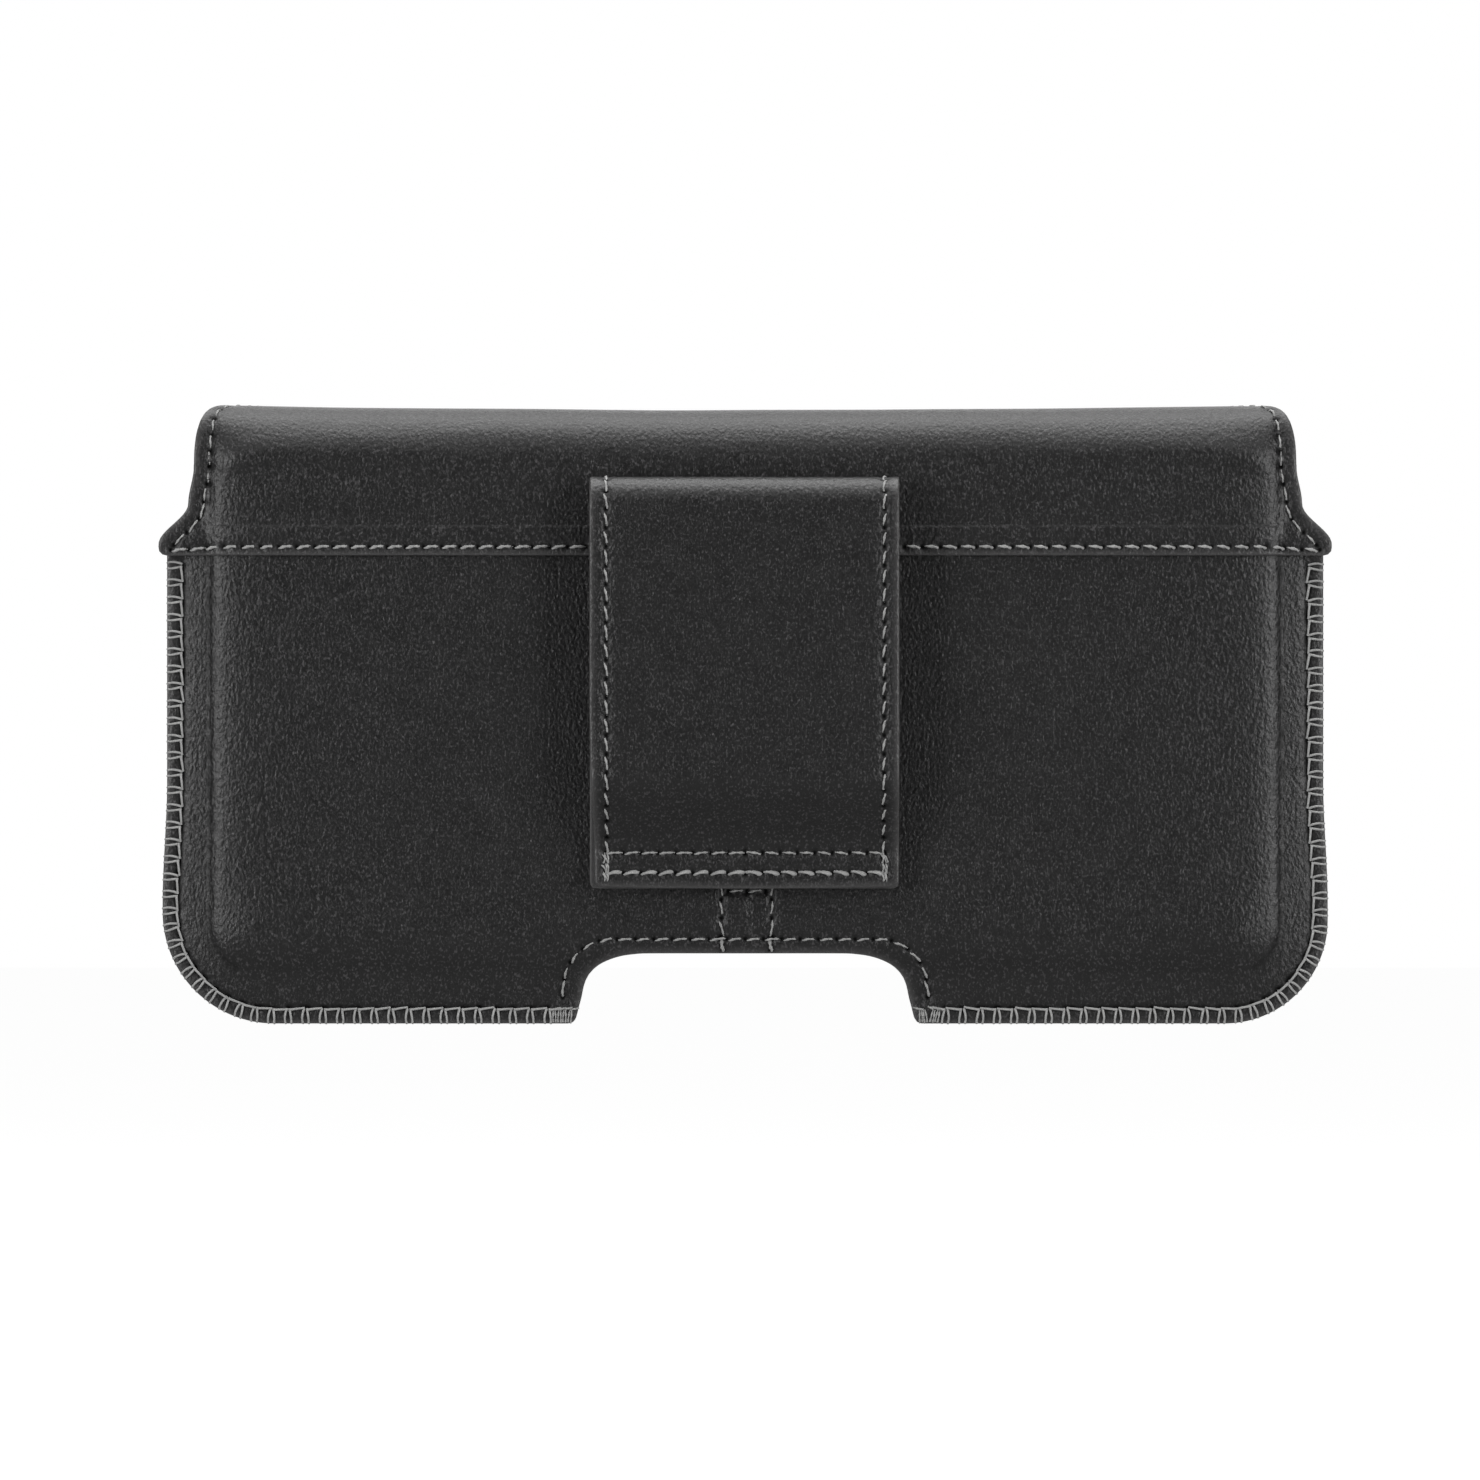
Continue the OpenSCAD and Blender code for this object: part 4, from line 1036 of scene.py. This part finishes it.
liningShrink = hide["panelThickness"]
liningR = front["cornerRadius"] - liningShrink
liningSection = shellSection(liningR, front["shoulder"] - liningShrink, front["crease"] + liningShrink,
                             frontLiningHigh.y, frontLow.y)
liningPlan = dict(half=form["halfWidth"] - liningShrink, lowZ=form["footZ"] + liningShrink, r=liningR)
liningPattern = unfolded(frontOutline, liningSection, **liningPlan)
clothCut = {"grain": 1.3 * mm, "rounding": 0.15 * mm}
frontLining = cutSheet("frontLining", liningPattern, shellSurface(liningSection, **liningPlan), 0,
                       hide["liningThickness"], **clothCut)
dress(frontLining, "holster", "lining", pocketCloth, "pocket_lining_front")
print("front panel made")

# Rear lining, padding and seam backing
rearCloth = {
    "cornerRadius": 3 * mm,
    "upperHalf": 85.6 * mm,   # half width above the panels' side seams
    "narrowFromZ": 18.2 * mm,
    "narrowRun": 1.2 * mm,
    "padCrown": 0.25 * mm,
    "padEdge": 6 * mm,
}


def flatFace(y, direction):
    def place(u, v, h):
        return np.stack([u, y + direction * h, v], 1)
    return place


clothR = rearCloth["cornerRadius"]
liningOutline = bodyOutline(liningHigh.z, clothR)
narrowing = smooth((liningOutline[:, 1] - rearCloth["narrowFromZ"]) / rearCloth["narrowRun"])
widest = panelHigh.x - (panelHigh.x - rearCloth["upperHalf"]) * narrowing
liningOutline[:, 0] = np.clip(liningOutline[:, 0], -widest, widest)
rearLining = cutSheet("rearLining", liningOutline, flatFace(liningHigh.y, 1), 0, hide["liningThickness"],
                      **clothCut)
dress(rearLining, "holster", "lining", pocketCloth, "pocket_lining_rear")
padOutline = joined(*(arc(sx * (padHigh.x - clothR), z, clothR, a, a + 90)
                      for sx, z, a in ((1, padLow.z + clothR, -90), (1, padHigh.z - clothR, 0),
                                       (-1, padHigh.z - clothR, 90), (-1, padLow.z + clothR, 180))))


def padCrown(flat):
    rim = spaced(padOutline, mm, closed=True)
    return -rearCloth["padCrown"] * (1 - smooth(distanceTo(flat, rim) / rearCloth["padEdge"]))


backPad = cutSheet("backPad", padOutline, flatFace(padHigh.y, 1), 0, padHigh.y - padLow.y, relief=padCrown,
                   grain=2 * mm, rounding=0.3 * mm)
dress(backPad, "holster", "padding", foamStock, "back_padding")
backingOutline = joined([(backingLow.x, backingLow.z), (backingHigh.x, backingLow.z),
                         (backingHigh.x, backingHigh.z), (backingLow.x, backingHigh.z)])
seamBacking = cutSheet("seamBacking", backingOutline, flatFace(backingLow.y, -1), 0,
                       backingHigh.y - backingLow.y, grain=1.5 * mm, rounding=0.1 * mm)
dress(seamBacking, "holster", "lining", pocketCloth, "seam_backing")
print("linings made")

# Blanket stitch round the flange: two legs over the edge, and the chain between stitches on both faces
def blanketStrands(tree):
    found = []
    for near, far, bow in ((-0.17, -0.1, -0.08), (0.17, 0.07, 0.02)):
        found.append(strand(tree, (far, 0.98, 0.07), (far + bow, 0.7, -0.09), (near + bow, 0.35, -0.05),
                            (near, 0.07, 0.03), 6))
        found.append(strand(tree, (near, 0.07, 0.03), (near, 0.0, 0.2), (near, 0.0, 0.8),
                            (near, 0.07, 0.97), 4))
        found.append(strand(tree, (near, 0.07, 0.97), (near + bow, 0.35, 1.05), (far + bow, 0.7, 1.09),
                            (far, 0.98, 0.93), 6))
    for level, lift in ((0.0, -0.06), (1.0, 0.06)):
        found.append(strand(tree, (0.07, 0.91, level + 0.3 * lift), (0.3, 0.96, level + lift),
                            (0.64, 1.0, level + lift), (0.92, 1.04, level - 0.8 * lift), 6))
    return found


blanketThread = threadTree("blanketStitch", blanketStrands)


def edgeGuide(line, side):
    inside = side * blanket["reach"]
    place = np.stack([line[:, 0] * side, np.full(len(line), flangeY + blanket["sink"]), line[:, 1]], 1)
    return [(place, np.tile((0.0, -1.0, 0.0), (len(line), 1)))], {"Sweep": -inside}


edgeThread = stitched("edgeThread", blanketThread, [edgeGuide(edgeLines[side], side) for side in (1, -1)],
                      Pitch=blanket["pitch"], Length=blanket["pitch"], Rise=-blanket["thickness"],
                      Thread=blanket["thread"], Flat=0.85, Twist=2.0, Slant=0.0, Wobble=0.06)
tackLine = np.stack([np.linspace(*blanket["tackAt"], 14), np.full(14, panelLow.z + 0.1 * mm)], 1)[::-1]
tackThread = stitched("tackThread", blanketThread, [edgeGuide(tackLine, side) for side in (1, -1)],
                      Pitch=0.7 * mm, Length=1.2 * mm, Rise=-blanket["thickness"] * 1.03,
                      Thread=blanket["thread"] * 0.9, Slant=0.0, Wobble=0.22)
for piece in (edgeThread, tackThread):
    dress(piece, "holster", "thread", greyThread)
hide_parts("edge_stitching")
print("edge stitching made")

# Hidden stiff pieces keep their CAD shape
for nodeName, material in (("back_board", boardStock), ("front_board", boardStock),
                           ("keeper_plates", plateSteel), ("flap_magnets", magnetPlate)):
    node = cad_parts[nodeName]
    node.data.materials.clear()
    node.data.materials.append(material)

# Floor, light and camera
studio = {
    "floorZ": -0.135,
    "floorHalf": 6.0,
    "floorGlow": 0.93,
    "ambient": 0.06,
    # Name, place, aim, width, height and power of each lamp
    "lamps": (("topLight", (0, 0.12, 0.75), (0, 0.01, 0), 0.9, 0.8, 8.2),
              ("leftLight", (-0.72, -0.68, 0.1), (-0.08, 0, -0.01), 0.5, 0.7, 6.3),
              ("rightLight", (0.72, -0.68, 0.1), (0.08, 0, -0.01), 0.5, 0.7, 6.3),
              ("frontLight", (0, -0.56, 0.7), (0, 0, 0), 1.0, 0.35, 1.6),
              ("farLight", (0, 1.1, 0.15), (0, 0, 0), 1.2, 0.3, 2.0),
              ("backLight", (0, 0.95, 0.55), (0, 0, 0), 1.4, 0.45, 2.5)),
}
for name, place, aim, width, height, power in studio["lamps"]:
    lampData = bpy.data.lights.new(name, "AREA")
    lampData.shape = "RECTANGLE"
    lampData.size, lampData.size_y, lampData.energy = width, height, power
    lamp = newObject(name, lampData)
    lamp.location = place
    lamp.visible_camera = False
    lamp.rotation_euler = (Vector(aim) - Vector(place)).to_track_quat("-Z", "Y").to_euler()

world = bpy.data.worlds.new("studio")
bpy.context.scene.world = world
world.use_nodes = True
worldTree = world.node_tree
rays = addNode(worldTree, "ShaderNodeLightPath")
level = addNode(worldTree, "ShaderNodeMix", {0: rays.outputs["Is Camera Ray"], 2: studio["ambient"], 3: 1.0},
                data_type="FLOAT").outputs[0]
backdrop = worldTree.nodes["Background"]
backdrop.inputs["Color"].default_value = (1, 1, 1, 1)
worldTree.links.new(level, backdrop.inputs["Strength"])

floorMaterial, floorTree, floorShader = newMaterial("floor")
floorShader.inputs["Roughness"].default_value = 0.9
paper = addNode(floorTree, "ShaderNodeTexNoise", {"Scale": 60.0})
floorTree.links.new(mixColour(floorTree, paper.outputs[0], (0.8, 0.8, 0.8, 1), (0.84, 0.84, 0.84, 1)),
                    floorShader.inputs["Base Color"])
floorRays = addNode(floorTree, "ShaderNodeLightPath")
glow = addNode(floorTree, "ShaderNodeEmission", {"Strength": studio["floorGlow"]})
lit = addNode(floorTree, "ShaderNodeAddShader", {0: floorShader.outputs[0], 1: glow.outputs[0]})
dim = addNode(floorTree, "ShaderNodeBsdfDiffuse", {"Color": (0.36, 0.36, 0.36, 1)})
seen = addNode(floorTree, "ShaderNodeMixShader", {0: floorRays.outputs["Is Camera Ray"], 1: dim.outputs[0],
                                                  2: lit.outputs[0]})
clear = addNode(floorTree, "ShaderNodeBsdfTransparent")
below = addNode(floorTree, "ShaderNodeNewGeometry").outputs["Backfacing"]
sides = addNode(floorTree, "ShaderNodeMixShader", {0: below, 1: seen.outputs[0], 2: clear.outputs[0]})
floorTree.links.new(sides.outputs[0], floorTree.nodes["Material Output"].inputs["Surface"])
floorMesh = bpy.data.meshes.new("floor")
floorMesh.from_pydata([(x * studio["floorHalf"], y * studio["floorHalf"], studio["floorZ"])
                       for x, y in ((-1, -1), (1, -1), (1, 1), (-1, 1))], [], [(0, 1, 2, 3)])
floorMesh.materials.append(floorMaterial)
floor = newObject("floor", floorMesh)

view = {"distance": 2.4, "sensor": 36.0, "frameWidth": 0.2294, "aimX": -0.0008, "aimZ": -0.0116}
lens = bpy.data.cameras.new("camera")
lens.sensor_width = view["sensor"]
lens.lens = view["sensor"] * view["distance"] / view["frameWidth"]
lens.clip_start = 0.05
camera = newObject("camera", lens)
camera.location = (view["aimX"], panelLow.y - view["distance"], view["aimZ"])
camera.rotation_euler = (math.pi / 2, 0, 0)
bpy.context.scene.camera = camera
bpy.context.scene.view_settings.view_transform = "Standard"
print("studio made")
